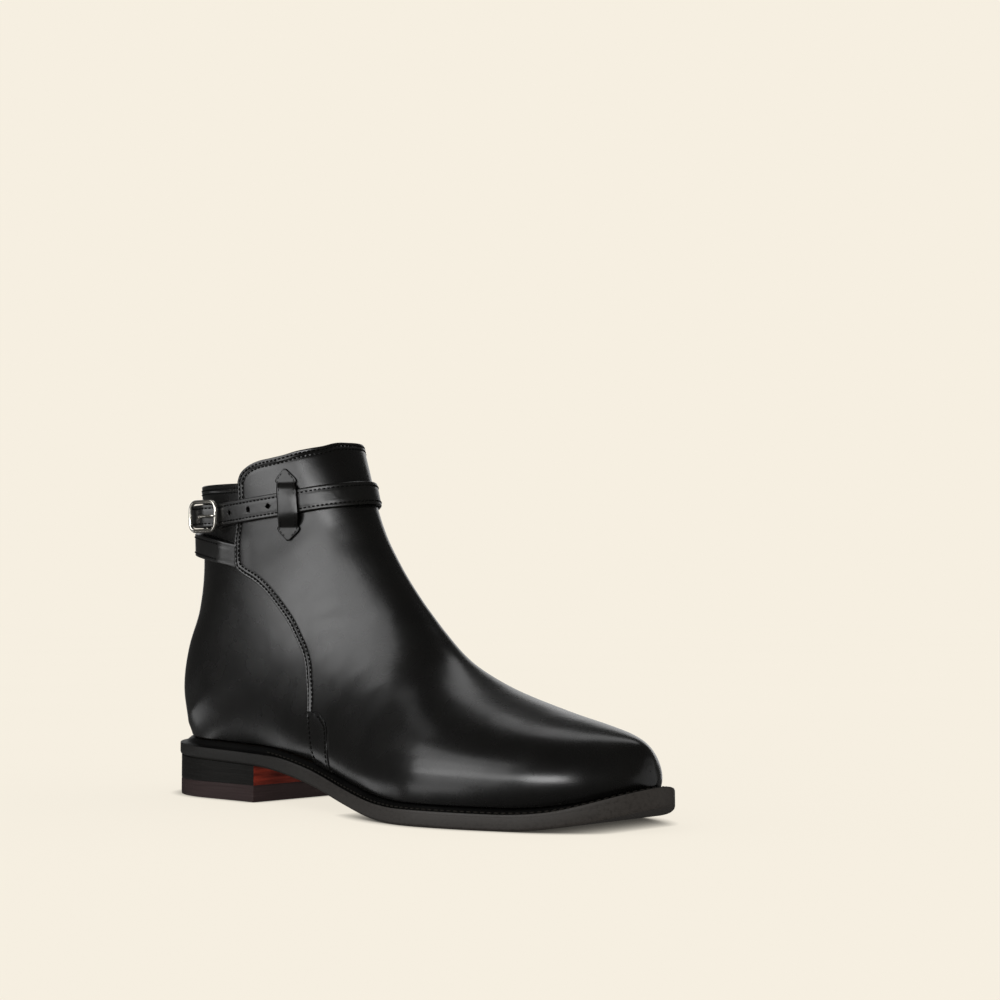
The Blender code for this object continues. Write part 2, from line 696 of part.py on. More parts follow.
def bar_path():
    """Centre bar: in from the top of the frame, down behind the strap and out again."""
    reach = BUCKLE_HEIGHT / 2
    inner = reach - WIRE / 4
    return [
        (BUCKLE_X, BUCKLE_Y, BUCKLE_Z + reach),
        (BUCKLE_X, BAR_Y - BAR_WIRE / 2, BUCKLE_Z + inner),
        (BUCKLE_X, BAR_Y, BUCKLE_Z + inner - BAR_WIRE / 2),
        (BUCKLE_X, BAR_Y, BUCKLE_Z - inner + BAR_WIRE / 2),
        (BUCKLE_X, BAR_Y - BAR_WIRE / 2, BUCKLE_Z - inner),
        (BUCKLE_X, BUCKLE_Y, BUCKLE_Z - reach),
    ]


def prong_path():
    """Prong: from the middle of the frame forwards over its front end."""
    reach = BUCKLE_LENGTH / 2 + WIRE / 2
    return [
        (BUCKLE_X - BAR_WIRE, PRONG_ROOT_Y, BUCKLE_Z),
        (BUCKLE_X + reach / 2, PRONG_TIP_Y, BUCKLE_Z),
        (BUCKLE_X + reach, PRONG_TIP_Y, BUCKLE_Z),
    ]


def build_buckle_frame(parent):
    """Wire frame joined with its centre bar."""
    loop = tube("buckle_frame", frame_path(), WIRE, (0, 1, 0), closed=True)
    frame = new_object("buckle_frame", loop, principled("nickel", NICKEL_FINISH), parent)
    bar = bpy.data.objects.new("bar_tool", tube("bar_tool", bar_path(), BAR_WIRE, (1, 0, 0)))
    bpy.context.scene.collection.objects.link(bar)
    bar.parent = parent
    bar.hide_render = True
    bar.display_type = "WIRE"
    join = frame.modifiers.new("bar", "BOOLEAN")
    join.operation = "UNION"
    join.solver = "EXACT"
    join.object = bar
    return frame


def build_buckle_prong(parent):
    mesh = tube("buckle_prong", prong_path(), PRONG_WIRE, (0, 0, 1))
    return new_object("buckle_prong", mesh, principled("prong_nickel", NICKEL_FINISH), parent)


def boot_frame():
    """Parent that puts the origin on the floor under the middle of the sole."""
    x = stations(0, SOLE_LENGTH, SOLE_STEPS)
    outer, inner = strip_points(x, 0.0, np.zeros_like(x))
    frame = bpy.data.objects.new("boot_frame", None)
    bpy.context.scene.collection.objects.link(frame)
    frame.location = (-SOLE_LENGTH / 2, -(outer[:, 1].min() + inner[:, 1].max()) / 2, 0)
    return frame


def main():
    for item in list(bpy.data.objects):
        bpy.data.objects.remove(item, do_unlink=True)
    frame = boot_frame()
    build_outsole(frame)
    build_heel_stack(frame)
    build_heel_top_piece(frame)
    build_welt(frame)
    build_insole(frame)
    build_upper(frame)
    table = ankle_table()
    build_wrap_strap(frame, table)
    build_buckle_strap(frame, table)
    build_keeper(frame, table, "keeper_lateral", KEEPER_TURN, KEEPER_LEAN)
    build_keeper(frame, table, "keeper_medial", 1 - KEEPER_TURN, -KEEPER_LEAN)
    build_buckle_frame(frame)
    build_buckle_prong(frame)


main()
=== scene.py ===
"""Looks of the buckle boot: the right boot on a pale floor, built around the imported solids.

The boot's own places count x from the back of the sole, y to the inner side of the foot and z up;
each mesh is moved into the shared frame when it is made.
"""

import math
from collections import namedtuple

import bmesh
import bpy
import numpy as np
from mathutils import Euler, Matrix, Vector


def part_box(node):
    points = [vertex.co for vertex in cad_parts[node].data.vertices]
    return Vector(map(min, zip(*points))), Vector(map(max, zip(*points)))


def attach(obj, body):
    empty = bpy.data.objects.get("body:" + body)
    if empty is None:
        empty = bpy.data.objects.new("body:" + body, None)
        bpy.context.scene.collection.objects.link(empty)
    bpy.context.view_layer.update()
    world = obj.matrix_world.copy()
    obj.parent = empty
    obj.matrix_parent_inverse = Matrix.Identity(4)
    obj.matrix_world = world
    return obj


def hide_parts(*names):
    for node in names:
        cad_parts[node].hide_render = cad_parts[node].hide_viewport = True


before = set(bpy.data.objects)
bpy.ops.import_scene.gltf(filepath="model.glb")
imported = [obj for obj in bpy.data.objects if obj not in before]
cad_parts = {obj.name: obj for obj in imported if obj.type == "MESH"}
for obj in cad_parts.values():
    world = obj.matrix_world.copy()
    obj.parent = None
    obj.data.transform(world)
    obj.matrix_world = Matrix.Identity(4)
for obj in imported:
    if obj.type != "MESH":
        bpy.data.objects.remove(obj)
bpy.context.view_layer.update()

MM = 0.001
MERGE = 0.005 * MM
SLIVER = 0.001 * MM
TINY = 1e-12
# Small change of a step, share or turn, for slopes
NUDGE = 0.002
# Angles between faces, in degrees, above which an edge is sharp
SHARP = 38
STRAP_SHARP = 60

# Driving sizes, the same as the solids
SOLE_LENGTH = 302 * MM
WALL = 2.2 * MM
GAP = 0.3 * MM
FEATHER_GAP = 0.5 * MM
TOP_PIECE_THICK = 8.1 * MM
HEEL_RISE_BACK = 20.3 * MM
HEEL_RISE_BREAST = 17.6 * MM
BREAST_X = 80 * MM
FLAT_START_X = 202 * MM
FLAT_END_X = 248 * MM
TOE_SPRING = 10.2 * MM
TOE_SPRING_POWER = 2.1
OUTSOLE_THICK = 5.6 * MM
WELT_THICK = 3.3 * MM
INSOLE_THICK = 3.0 * MM
HEEL_INSET = 0.6 * MM
FEATHER_INSET = 5.0 * MM
FEATHER_END = 6.0 * MM
HEEL_FEATHER_END = 3.8 * MM
INSOLE_GAP = 0.6 * MM
INSOLE_INSET = FEATHER_INSET + WALL + INSOLE_GAP
INSOLE_END = 1 * MM
WIDEST_INSET = 2.6 * MM
WIDEST_END = 6.4 * MM
WIDEST_LEAST = 1.004
HEEL_ROUND = 41 * MM
TOE_ROUND = 45 * MM
ROUND_POWER = 2.1
TOE_NOSE_Z = 25 * MM
BASE_CROWD = 1.3
FINE_SIDE = 64

# Plan of the sole: share of its length, middle line and half width
Plan = namedtuple("Plan", "share centre half")
SOLE_PLAN = [
    Plan(0.00, 0.0, 33.0),
    Plan(0.13, 0.0, 33.8),
    Plan(0.26, -0.5, 32.5),
    Plan(0.40, -3.5, 33.0),
    Plan(0.52, -4.5, 40.0),
    Plan(0.62, -3.5, 48.5),
    Plan(0.69, -2.0, 51.5),
    Plan(0.77, 0.5, 49.0),
    Plan(0.86, 3.5, 42.0),
    Plan(0.94, 5.5, 35.5),
    Plan(1.00, 6.5, 31.0),
]

# Sections of the upper: each lies in the plane from a base point to a point on the front ridge.
# The step counts along the base: 0 to 1 down the toe, 1 to 2 along the sole, above 2 up the back.
Section = namedtuple("Section", "step front_x front_z crest spread widest crown seat")
SECTIONS = [
    Section(0.00, 295.6, 25.0, 6.5, 1.00, 0.45, 2.1, 2.0),
    Section(0.40, 294.8, 29.4, 6.5, 1.00, 0.42, 2.1, 2.0),
    Section(0.80, 293.2, 34.2, 6.5, 1.00, 0.40, 2.1, 2.0),
    Section(1.00, 290.4, 37.2, 6.4, 1.00, 0.38, 2.1, 2.0),
    Section(1.10, 281.8, 40.2, 6.0, 1.00, 0.34, 2.1, 2.0),
    Section(1.20, 262.0, 44.5, 5.0, 1.00, 0.32, 2.0, 2.0),
    Section(1.30, 236.0, 50.2, 3.5, 1.00, 0.30, 1.9, 2.0),
    Section(1.40, 208.0, 59.0, 2.2, 1.00, 0.28, 1.7, 2.0),
    Section(1.50, 187.2, 70.2, 1.5, 1.00, 0.27, 1.6, 2.0),
    Section(1.60, 173.2, 83.4, 1.0, 1.02, 0.28, 1.6, 2.0),
    Section(1.70, 162.0, 95.0, 0.6, 1.04, 0.30, 1.6, 2.1),
    Section(1.80, 154.4, 103.5, 0.3, 1.04, 0.335, 1.65, 3.0),
    Section(1.90, 148.0, 111.0, 0.1, 1.04, 0.35, 1.7, 2.9),
    Section(2.00, 143.4, 117.0, 0.0, 1.04, 0.368, 1.7, 2.85),
    Section(2.20, 135.6, 127.5, 0.0, 1.04, 0.372, 1.75, 2.85),
    Section(2.40, 129.8, 137.0, 0.0, 1.04, 0.388, 1.8, 2.7),
    Section(2.60, 124.5, 147.0, 0.0, 1.05, 0.425, 1.85, 2.3),
    Section(2.80, 118.8, 160.5, 0.0, 1.07, 0.45, 1.9, 2.2),
    Section(3.00, 111.8, 176.0, 0.0, 1.09, 0.46, 2.0, 2.1),
    Section(3.20, 108.0, 190.0, 0.0, 1.10, 0.46, 2.0, 2.1),
]

# Line up the back of the upper
Back = namedtuple("Back", "step x z")
BACK_LINE = [
    Back(2.00, 3.8, 29.8),
    Back(2.20, 0.9, 47.0),
    Back(2.40, 4.0, 66.0),
    Back(2.60, 11.2, 86.0),
    Back(2.80, 15.0, 112.0),
    Back(3.00, 13.6, 147.5),
    Back(3.20, 12.6, 164.0),
]

# Fine table of the upper's outside
CORNER_STEP = 2
# Step at the toe's tip, where the sole's edge begins
TIP_STEP = 1
LAST_STEP = SECTIONS[-1].step
# Search for the step at which a panel reaches its top edge
TOP_FIRST_STEP = 2.2
TOP_LAST_STEP = LAST_STEP - 0.01
TOP_HALVINGS = 40
TABLE_TOE = 40
TABLE_SOLE = 150
TABLE_BACK = 130
TABLE_COLUMNS = 160
TOE_CROWD = 0.7
# Rows of the table that are evened out round the toe's tip
TOE_EVEN_STEPS = (0.25, 1.14)
TOE_EVEN_ROUNDS = 60
Table = namedtuple("Table", "steps points normals base front ups")

# Collar edges
REAR_COLLAR_Z = 155.3 * MM
# Round the inner side the front collar reads its heights this far ahead, so its front stays high
COLLAR_AHEAD = 6 * MM
COLLAR_AHEAD_X = (88 * MM, 100 * MM)
COLLAR_AHEAD_Y = 6 * MM
Collar = namedtuple("Collar", "x z")
FRONT_COLLAR = [
    Collar(55.0, 150.0),
    Collar(65.5, 151.5),
    Collar(66.3, 153.5),
    Collar(66.7, 155.5),
    Collar(67.4, 157.6),
    Collar(68.3, 159.5),
    Collar(69.4, 160.9),
    Collar(71.2, 162.3),
    Collar(74.5, 164.1),
    Collar(79.5, 165.8),
    Collar(86.5, 167.1),
    Collar(93.3, 168.6),
    Collar(98.5, 170.3),
    Collar(104.0, 171.7),
    Collar(108.0, 172.8),
    Collar(111.9, 174.8),
    Collar(120.0, 175.0),
]

# Rear edge of the front panel in side view, from under the welt up to the collar
Seam = namedtuple("Seam", "x z")
SEAM = [
    Seam(125.5, 12.0),
    Seam(124.5, 20.0),
    Seam(122.5, 26.2),
    Seam(120.6, 32.5),
    Seam(118.3, 41.0),
    Seam(116.8, 50.0),
    Seam(113.9, 59.7),
    Seam(110.6, 69.1),
    Seam(107.8, 73.8),
    Seam(104.4, 78.5),
    Seam(100.9, 83.3),
    Seam(97.1, 88.1),
    Seam(92.6, 92.9),
    Seam(87.8, 97.7),
    Seam(82.6, 102.5),
    Seam(75.6, 107.3),
    Seam(69.6, 110.3),
    Seam(65.4, 113.3),
    Seam(64.0, 119.5),
    Seam(64.2, 127.0),
    Seam(65.6, 134.6),
    Seam(67.0, 146.0),
    Seam(66.6, 160.0),
    Seam(66.4, 176.0),
]
SEAM_STEPS = 400

# Tab over the foot of the seam: its front edge in side view
Tab = namedtuple("Tab", "z x")
TAB = [
    Tab(14.0, 138.6),
    Tab(23.4, 138.4),
    Tab(32.8, 137.6),
    Tab(36.5, 136.4),
    Tab(39.6, 134.7),
    Tab(43.0, 130.3),
    Tab(45.1, 125.1),
    Tab(45.7, 119.0),
]
TAB_TOP = 45.5 * MM
TAB_FOOT = 15 * MM
TAB_BACK = 0.4 * MM
TAB_THICK = 0.6 * MM
TAB_SEAM = 1.7 * MM
TAB_STEPS = 50
TAB_COLUMNS = 21

# Panels of leather: lift above the upper's outside, thickness, and rows and columns of their grids
PANEL_LIFT = 0.15 * MM
PANEL_THICK = 1.3 * MM
QUARTER_LIFT = -0.95 * MM
QUARTER_THICK = 1.1 * MM
UNDERLAP = 7 * MM
# Share across from which the panel counts as reaching the base
FULL_SHARE = 1 - 1e-6
LINING_LIFT = -2.15 * MM
LINING_THICK = 0.5 * MM
LINING_DROP = 1.4 * MM
LINING_START = 0.6
TUCK_IN = 1.4 * MM
TUCK_DOWN = 0.6 * MM
EDGE_ROUND = 0.7 * MM
EDGE_SQUARE = 0.75
PANEL_LOW_ROWS = 110
PANEL_HIGH_ROWS = 140
PANEL_COLUMNS = 160
QUARTER_ROWS = 150
QUARTER_COLUMNS = 60
LINING_ROWS = 110
LINING_COLUMNS = 90
# Powers and a share that crowd rows and columns towards the edges
PANEL_LOW_CROWD = 0.85
PANEL_HIGH_CROWD = 1.25
QUARTER_CROWD = 1.2
CROWD = 0.7

# Stitching
STITCH_PITCH = 2.2 * MM
STITCH_LENGTH = 1.5 * MM
STITCH_WIDE = 0.8 * MM
SEAM_ROWS = (1.5 * MM, 3.5 * MM)
COLLAR_ROWS = (2.4 * MM, 4.4 * MM)
GROOVE_DEEP = 0.20 * MM
SINK = 0.05 * MM
SEAM_FOOT = 0.5 * MM
GROOVE_WIDE = 0.55 * MM
RIDGE_HIGH = 0.28 * MM
WELT_PITCH = 3.2 * MM
WELT_STITCH = 2.3 * MM
WELT_STITCH_WIDE = 0.85 * MM
# One stitch: places along its half length, and shares of its thickness there
STITCH_ALONG = (-1, -0.8, -0.35, 0.35, 0.8, 1)
STITCH_THICK = (0.15, 0.75, 1, 1, 0.75, 0.15)
STITCH_SIDES = 8
# Share of the pitch over which a row's direction is read
LOOK_SHARE = 0.125
# A second line this deep gives the stitches of straps and keepers their outward direction
WAY_DEEP = 1 * MM
INSET_PIECES = 4
COLLAR_STEPS = 100
Row = namedtuple("Row", "line ways")

# Creases of the leather in side view: middle, half length, lean, half width and depth
Crease = namedtuple("Crease", "x z reach lean wide deep")
CREASES = [
    Crease(112.0, 101.0, 12.0, 44, 3.2, 0.10),
    Crease(119.0, 92.0, 12.0, 20, 3.0, 0.10),
    Crease(125.0, 84.0, 10.0, 6, 3.0, 0.08),
    Crease(153.0, 55.0, 9.0, 26, 2.6, 0.10),
    Crease(160.0, 58.5, 9.0, 26, 2.6, 0.10),
    Crease(205.0, 52.0, 16.0, -28, 6.0, 0.20),
    Crease(222.0, 46.0, 14.0, -30, 6.0, 0.16),
    Crease(138.0, 78.0, 18.0, 52, 8.0, 0.28),
]
# Ridge beside each crease: its place in half widths, and its share of the depth
CREASE_RIDGE_OFF = 1.8
CREASE_RIDGE_HIGH = 0.6
# Patches of fine creases: middle, reach, lean of the lines in side view and depth
Patch = namedtuple("Patch", "x y z reach lean deep")
FINE_CREASES = [
    Patch(110.0, -23.0, 99.0, 13.0, 4, 0.06),
    Patch(117.0, -23.5, 87.0, 13.0, 2, 0.06),
    Patch(159.0, -27.9, 57.3, 14.0, 22, 0.06),
    Patch(160.0, -17.7, 74.0, 13.0, 0, 0.04),
]
FINE_ALONG = 170
FINE_ACROSS = 950
# Share of a patch's reach within which its creases are full
PATCH_FULL = 0.3

# Ankle straps, by turn round the ankle from the back over the inner side, height and lift
AXIS_X = 64 * MM
ANKLE_STEP = 1.85
ANKLE_LOW = 108 * MM
ANKLE_HIGH = 170 * MM
ANKLE_LEVELS = 40
ANKLE_TURNS = 240
MEAN_RADIUS = 40 * MM
MEAN_GIRTH = 2 * math.pi * MEAN_RADIUS
STRAP_WIDTH = 11.4 * MM
STRAP_THICK = 2.4 * MM
BUCKLE_STRAP_THICK = 1.8 * MM
STRAP_STEPS = 300
BUCKLE_STRAP_STEPS = 60
STRAP_COLUMNS = 17
STRAP_ROUND = 0.7 * MM
STRAP_SEAM = 1.9 * MM
STRAP_UNDER_ROUND = 0.25
STRAP_ROW_STEPS = 260
STITCH_END = 0.872
BUCKLE_STITCH_START = 0.866
TIP_LENGTH = 9 * MM
TIP_SHARE = 0.35
HOLE_TURNS = (0.6452, 0.6938, 0.7512)
HOLE_RADIUS = 1.15 * MM
HOLE_SIDES = 24
# The strap's hidden start is pared thin and runs under the panel, which rises over it
SKIVE_START = -0.278
SKIVE_END = -0.205
SKIVE_EASE = 0.02
SKIVE_SHARE = 0.2
SKIVE_LIFT = -0.7 * MM
RISE_X = 66 * MM
RISE_Z = 119 * MM
RISE_HIGH = 0.3 * MM
RISE_LONG = 7 * MM
RISE_TALL = 8 * MM
Stop = namedtuple("Stop", "turn z lift")
WRAP_STRAP = [
    Stop(-0.248, 119.7, 0.4),
    Stop(-0.196, 122.2, 0.6),
    Stop(-0.125, 125.0, 1.4),
    Stop(0.000, 128.0, 0.8),
    Stop(0.120, 131.5, 0.4),
    Stop(0.250, 137.0, 0.4),
    Stop(0.390, 145.5, 0.4),
    Stop(0.490, 150.0, 0.4),
    Stop(0.553, 147.8, 0.4),
    Stop(0.608, 144.8, 0.4),
    Stop(0.702, 141.8, 0.4),
    Stop(0.782, 140.1, 0.4),
    Stop(0.7952, 139.8, 0.5),
    Stop(0.8244, 139.5, 4.15),
    Stop(0.8422, 139.4, 4.5),
    Stop(0.8563, 139.4, 4.6),
    Stop(0.8756, 139.5, 4.3),
    Stop(0.8917, 139.7, 3.8),
]
BUCKLE_STRAP = [
    Stop(0.8367, 139.4, 2.1),
    Stop(0.8483, 139.4, 2.25),
    Stop(0.8635, 139.5, 2.05),
    Stop(0.8826, 139.7, 1.45),
    Stop(0.920, 140.2, 0.7),
    Stop(0.950, 140.8, 0.5),
    Stop(1.020, 142.2, 0.4),
]
BUCKLE_STITCH_END = BUCKLE_STRAP[-1].turn - 0.005

# Keepers: rise from their middle, lift off the leather and half width
KEEPER_TURN = 0.6095
KEEPER_DROP = 0.7 * MM
KEEPER_LEAN = 0.0002
KEEPER_THICK = 1.4 * MM
KEEPER_ROWS = 90
KEEPER_COLUMNS = 15
KEEPER_ROUND = 0.5 * MM
KEEPER_SEAM = 1.1 * MM
KEEPER_BOW = 0.5 * MM
KEEPER_BOW_REACH = 7 * MM
KEEPER_ROW_STEPS = 160
KEEPER_SEAM_END = 2.2
KEEPER_PITCH = 1.9 * MM
KEEPER_STITCH = 1.5 * MM
KEEPER_STITCH_WIDE = 0.5 * MM
Foot = namedtuple("Foot", "turn lean")
Loop = namedtuple("Loop", "rise lift half")
KEEPER = [
    Loop(-17.5, 0.4, 0.6),
    Loop(-11.2, 0.4, 4.9),
    Loop(-10.4, 0.8, 4.2),
    Loop(-8.4, 2.3, 4.2),
    Loop(-6.0, 3.4, 4.2),
    Loop(-3.6, 3.8, 4.2),
    Loop(7.2, 3.4, 4.2),
    Loop(8.7, 2.6, 4.2),
    Loop(10.4, 0.8, 4.2),
    Loop(11.2, 0.4, 4.9),
    Loop(17.5, 0.4, 0.6),
]

# Buckle
BUCKLE_X = 45.65 * MM
BUCKLE_Y = -37.2 * MM
BUCKLE_Z = 139.4 * MM
BUCKLE_LENGTH = 19.5 * MM
BUCKLE_HEIGHT = 14.4 * MM
BUCKLE_CORNER = 4 * MM
WIRE = 2 * MM
BAR_WIRE = 1.4 * MM
BAR_Y = -34.25 * MM
PRONG_ROOT_Y = -38.55 * MM
PRONG_TIP_Y = -39.1 * MM
PRONG_WIRE = 1.5 * MM
PRONG_STEPS = 12
PRONG_BEND = 0.8
PRONG_FULL = 1.05
PRONG_TAPER = 0.35
PRONG_END = 0.6
WIRE_SIDES = 20
CORNER_STEPS = 10

# Sole edges: inset from the outline and share of the thickness, from below upwards
Edge = namedtuple("Edge", "inset share")
OUTSOLE_EDGE = [
    Edge(2.4, 0.00),
    Edge(0.9, 0.00),
    Edge(0.25, 0.10),
    Edge(0.0, 0.25),
    Edge(0.0, 0.95),
    Edge(0.02, 1.00),
]
# Shares of the welt's thickness round the heel, along the side and at the toe
WeltEdge = namedtuple("WeltEdge", "inset heel share toe")
WELT_EDGE = [
    WeltEdge(0.25, -0.085, -0.085, -0.085),
    WeltEdge(0.02, -0.085, -0.085, -0.085),
    WeltEdge(0.02, -0.04, 0.10, 0.30),
    WeltEdge(0.04, 0.00, 0.26, 0.62),
    WeltEdge(0.25, 0.04, 0.36, 0.82),
    WeltEdge(0.7, 0.07, 0.40, 0.93),
    WeltEdge(1.3, 0.11, 0.42, 0.98),
    WeltEdge(1.9, 0.16, 0.44, 1.00),
    WeltEdge(2.4, 0.21, 0.47, 1.00),
    WeltEdge(2.9, 0.30, 0.54, 1.00),
    WeltEdge(3.6, 0.50, 0.68, 1.00),
    WeltEdge(4.6, 0.80, 0.88, 1.00),
    WeltEdge(5.6, 0.98, 0.98, 1.00),
    WeltEdge(13.0, 1.00, 1.00, 1.00),
    WeltEdge(13.0, 0.00, 0.00, 0.00),
]
WELT_WALL_INSET = 0.8 * MM
WELT_FORE = (76 * MM, 112 * MM)
WELT_TOE = (268 * MM, 298 * MM)
WELT_STITCH_X = BREAST_X + 6 * MM
# Edges of one heel lift and of the insole, as insets from their own outlines
LIFT_EDGE = [
    Edge(0.35, 0.00),
    Edge(0.05, 0.08),
    Edge(0.0, 0.20),
    Edge(0.0, 0.80),
    Edge(0.05, 0.92),
    Edge(0.35, 1.00),
]
INSOLE_EDGE = [
    Edge(0.4, 0.0),
    Edge(0.0, 0.2),
    Edge(0.0, 0.8),
    Edge(0.6, 1.0),
]
HEEL_GAP = GAP / 3
HEEL_LIFTS = 4
TOP_PIECE_ROUND = 0.4
LIFT_GROOVE = 0.12
SOLE_STATIONS = 150
HEEL_STATIONS = 70
HEEL_CROWD = 1.8
BREAST_REACH = 1.2 * MM
WALL_STEEP = 0.7
WELT_ROW_INSET = 2.2 * MM
WELT_ROW_SHARE = 0.5

# Camera, floor and light
PHOTO_SIDE = 1000
SENSOR = 36.0
FOCAL_PIXELS = 2057.5
CAMERA_PLACE = (0.70321, -0.67747, 0.0993)
CAMERA_TILT = 92.7046
CAMERA_TURN = 43.327
FLOOR_RADIUS = 6.0
FLOOR_SIDES = 96
CREAM = (0.922, 0.863, 0.753)
FLOOR_DARK = (0.115, 0.115, 0.115, 1)
FLOOR_PALE = (0.125, 0.125, 0.125, 1)
FLOOR_GLOW = 0.88
CONTACT_REACH = 6.5 * MM
CONTACT_DARK = 0.05
GLOSS_GREY = (0.065, 0.064, 0.062)

# Lamps: direction and half angles of view in degrees, and brightness
Lamp = namedtuple("Lamp", "name turn rise wide tall glow")
LAMPS = [
    Lamp("side_floor", -116, -14, 16, 4, 2.0),
    Lamp("side_low", -107, -1, 16, 7, 1.7),
    Lamp("side_mid", -105, 12, 21, 7.5, 4.0),
    Lamp("side_high", -112, 27, 19, 7, 2.9),
    Lamp("side_top", -120, 41, 22, 7, 1.8),
    Lamp("key", -67, 12, 12, 7, 10.0),
    Lamp("floor_left", -161, -16, 14, 4, 1.0),
    Lamp("back_top", 118, 60, 14, 9, 1.3),
    Lamp("back_mid", -164, 50, 7, 5, 0.5),
    Lamp("inner", 34, -1, 36, 11, 0.35),
    Lamp("rim", 131, 8, 22, 14, 0.8),
]
LAMP_FAR = 8.0
LAMP_AIM = np.array([0.0, 0.0, 0.06])

# Leathers: two colours, gloss, pores, polish coat and unevenness
Skin = namedtuple("Skin", "dark pale rough spread grain depth coat shine mottle sway")
CALF = Skin(
    (0.0022, 0.0022, 0.0022), (0.0038, 0.0038, 0.0037), 0.27, 0.02, 1500, 0.05, 0.12, 0.5, 0.012, 0.3
)
STRAP_CALF = Skin(
    (0.0030, 0.0030, 0.0029), (0.0055, 0.0055, 0.0053), 0.33, 0.07, 1700, 0.1, 0.1, 0.5, 0.11, 0.0
)
# Welt leather: black, and made darker and duller than the calf as painted shade for the crease under the
# upper
WELT_BLACK_PAINTED_SHADE = Skin(
    (0.0014, 0.0014, 0.0014), (0.0032, 0.0031, 0.0030), 0.50, 0.10, 900, 0.10, 0.0, 0.1, 0.04, 0.0
)
LINING_TAN = Skin((0.28, 0.17, 0.09), (0.36, 0.23, 0.13), 0.62, 0.08, 1300, 0.06, 0.0, 0.3, 0.02, 0.0)
COAT_ROUGH = 0.16
PORE_DEEP = 0.08 * MM
FIBRE_SHARE = 1.2
FIBRE_DEEP = 0.05 * MM

# Noises: scale, detail and roughness; the fibre's scale counts in pores
Grain = namedtuple("Grain", "scale detail rough")
CLOUD = Grain(45, 4, 0.6)
GLOSS = Grain(70, 2, 0.5)
SWAY = Grain(42, 2, 0.45)
MOTTLE = Grain(430, 4, 0.6)
FIBRE = Grain(2.3, 4, 0.65)
CREASE_LINES = Grain(1.0, 2, 0.5)
EDGE_SPECK = Grain(650, 4, 0.65)
EDGE_LAYERS = Grain(1.0, 3, 0.6)
TWIST = Grain(2600, 2, 0.5)
LIFT_STREAK = Grain(1.0, 4, 0.6)
LIFT_SPECK = Grain(900, 3, 0.6)
WEAR = Grain(400, 4, 0.6)
BRUSH = Grain(1500, 2, 0.5)
FLOOR_CLOUD = Grain(3, 2, 0.5)
# Parts of a noise's range that are stretched to the whole
MIDDLE = (0.3, 0.7)
CLOUD_RANGE = (0.35, 0.7)
WEAR_RANGE = (0.4, 0.8)
GLOSS_RANGE = (0.3, 0.8)

# Sole edge, from the heel to the toe
HEEL_EDGE = (0.0095, 0.0092, 0.0090, 1)
TOE_EDGE = (0.034, 0.031, 0.031, 1)
EDGE_FADE = (-70 * MM, 20 * MM)
EDGE_WEAR = (0.6, 1.3)
EDGE_GLOSS = (0.42, 0.62)
EDGE_SQUEEZE = (70, 70, 1400)
EDGE_SPECK_SHARE = 0.35
EDGE_LAYER_SHARE = 0.2
EDGE_DEEP = 0.15 * MM
EDGE_SHINE = 0.28

# Heel lifts: two colours, gloss and how fine their layers are
Lift = namedtuple("Lift", "dark pale rough layers")
HEEL_BLACK = Lift((0.0045, 0.0044, 0.0043), (0.0085, 0.0083, 0.0082), 0.42, 1500)
BREAST_RED = Lift((0.05, 0.005, 0.003), (0.24, 0.027, 0.014), 0.5, 420)
TOP_PIECE_BROWN = Lift((0.028, 0.017, 0.019), (0.040, 0.026, 0.029), 0.45, 1500)
LIFT_SQUEEZE = (40, 40)
LIFT_SPREAD = (0.08, 0.1)
LIFT_SPECK_SHARE = 0.12
LIFT_SPECK_DEEP = 0.1 * MM
LIFT_STREAK_SHARE = 0.15
LIFT_STREAK_DEEP = 0.15 * MM
LIFT_SHINE = 0.13

# Thread and nickel
BLACK_THREAD = (0.004, 0.004, 0.004)
WELT_THREAD = (0.016, 0.014, 0.012)
THREAD_DARK = 0.6
TWIST_SHARE = 0.3
TWIST_DEEP = 0.1 * MM
THREAD_ROUGH = 0.7
THREAD_SHINE = 0.12
NICKEL_PALE = (0.78, 0.75, 0.69, 1)
NICKEL_WORN = (0.62, 0.58, 0.5, 1)
NICKEL_GLOSS = (0.10, 0.24)
BRUSH_SHARE = 0.04
BRUSH_DEEP = 0.05 * MM


def unit(ways):
    """Directions of length 1."""
    return ways / (np.linalg.norm(ways, axis=-1, keepdims=True) + TINY)


def dots(first, second):
    """Dot product of each pair of rows."""
    return np.einsum("ij,ij->i", first, second)


def bell(distance, reach):
    """Bell curve, 1 at distance 0."""
    return np.exp(-((distance / reach) ** 2))


def eased(at, low, high):
    """Share from 0 to 1 between two places, with soft ends."""
    s = np.clip((at - low) / (high - low), 0, 1)
    return s * s * (3 - 2 * s)


def edge_fall(distance, radius):
    """Fall of a rounded edge, by distance from its rim."""
    inside = np.clip(distance / radius, 0, 1)
    return radius * (1 - np.sqrt(1 - (1 - inside) ** 2))


def walked(line):
    """Distance walked along a line, at each of its points."""
    return np.concatenate([[0], np.cumsum(np.linalg.norm(np.diff(line, axis=0), axis=1))])


def read_line(at, walk, line):
    """Points of a line at given distances along it."""
    return np.stack([np.interp(at, walk, line[:, k]) for k in range(line.shape[1])], 1)


def read_grid(grid, row, col):
    """Values of a grid at places counted in rows and columns."""
    i = np.clip(row.astype(int), 0, grid.shape[0] - 2)
    j = np.clip(col.astype(int), 0, grid.shape[1] - 2)
    r = row - i
    c = col - j
    if grid.ndim > 2:
        r = r[..., None]
        c = c[..., None]
    low = grid[i, j] * (1 - c) + grid[i, j + 1] * c
    high = grid[i + 1, j] * (1 - c) + grid[i + 1, j + 1] * c
    return low * (1 - r) + high * r


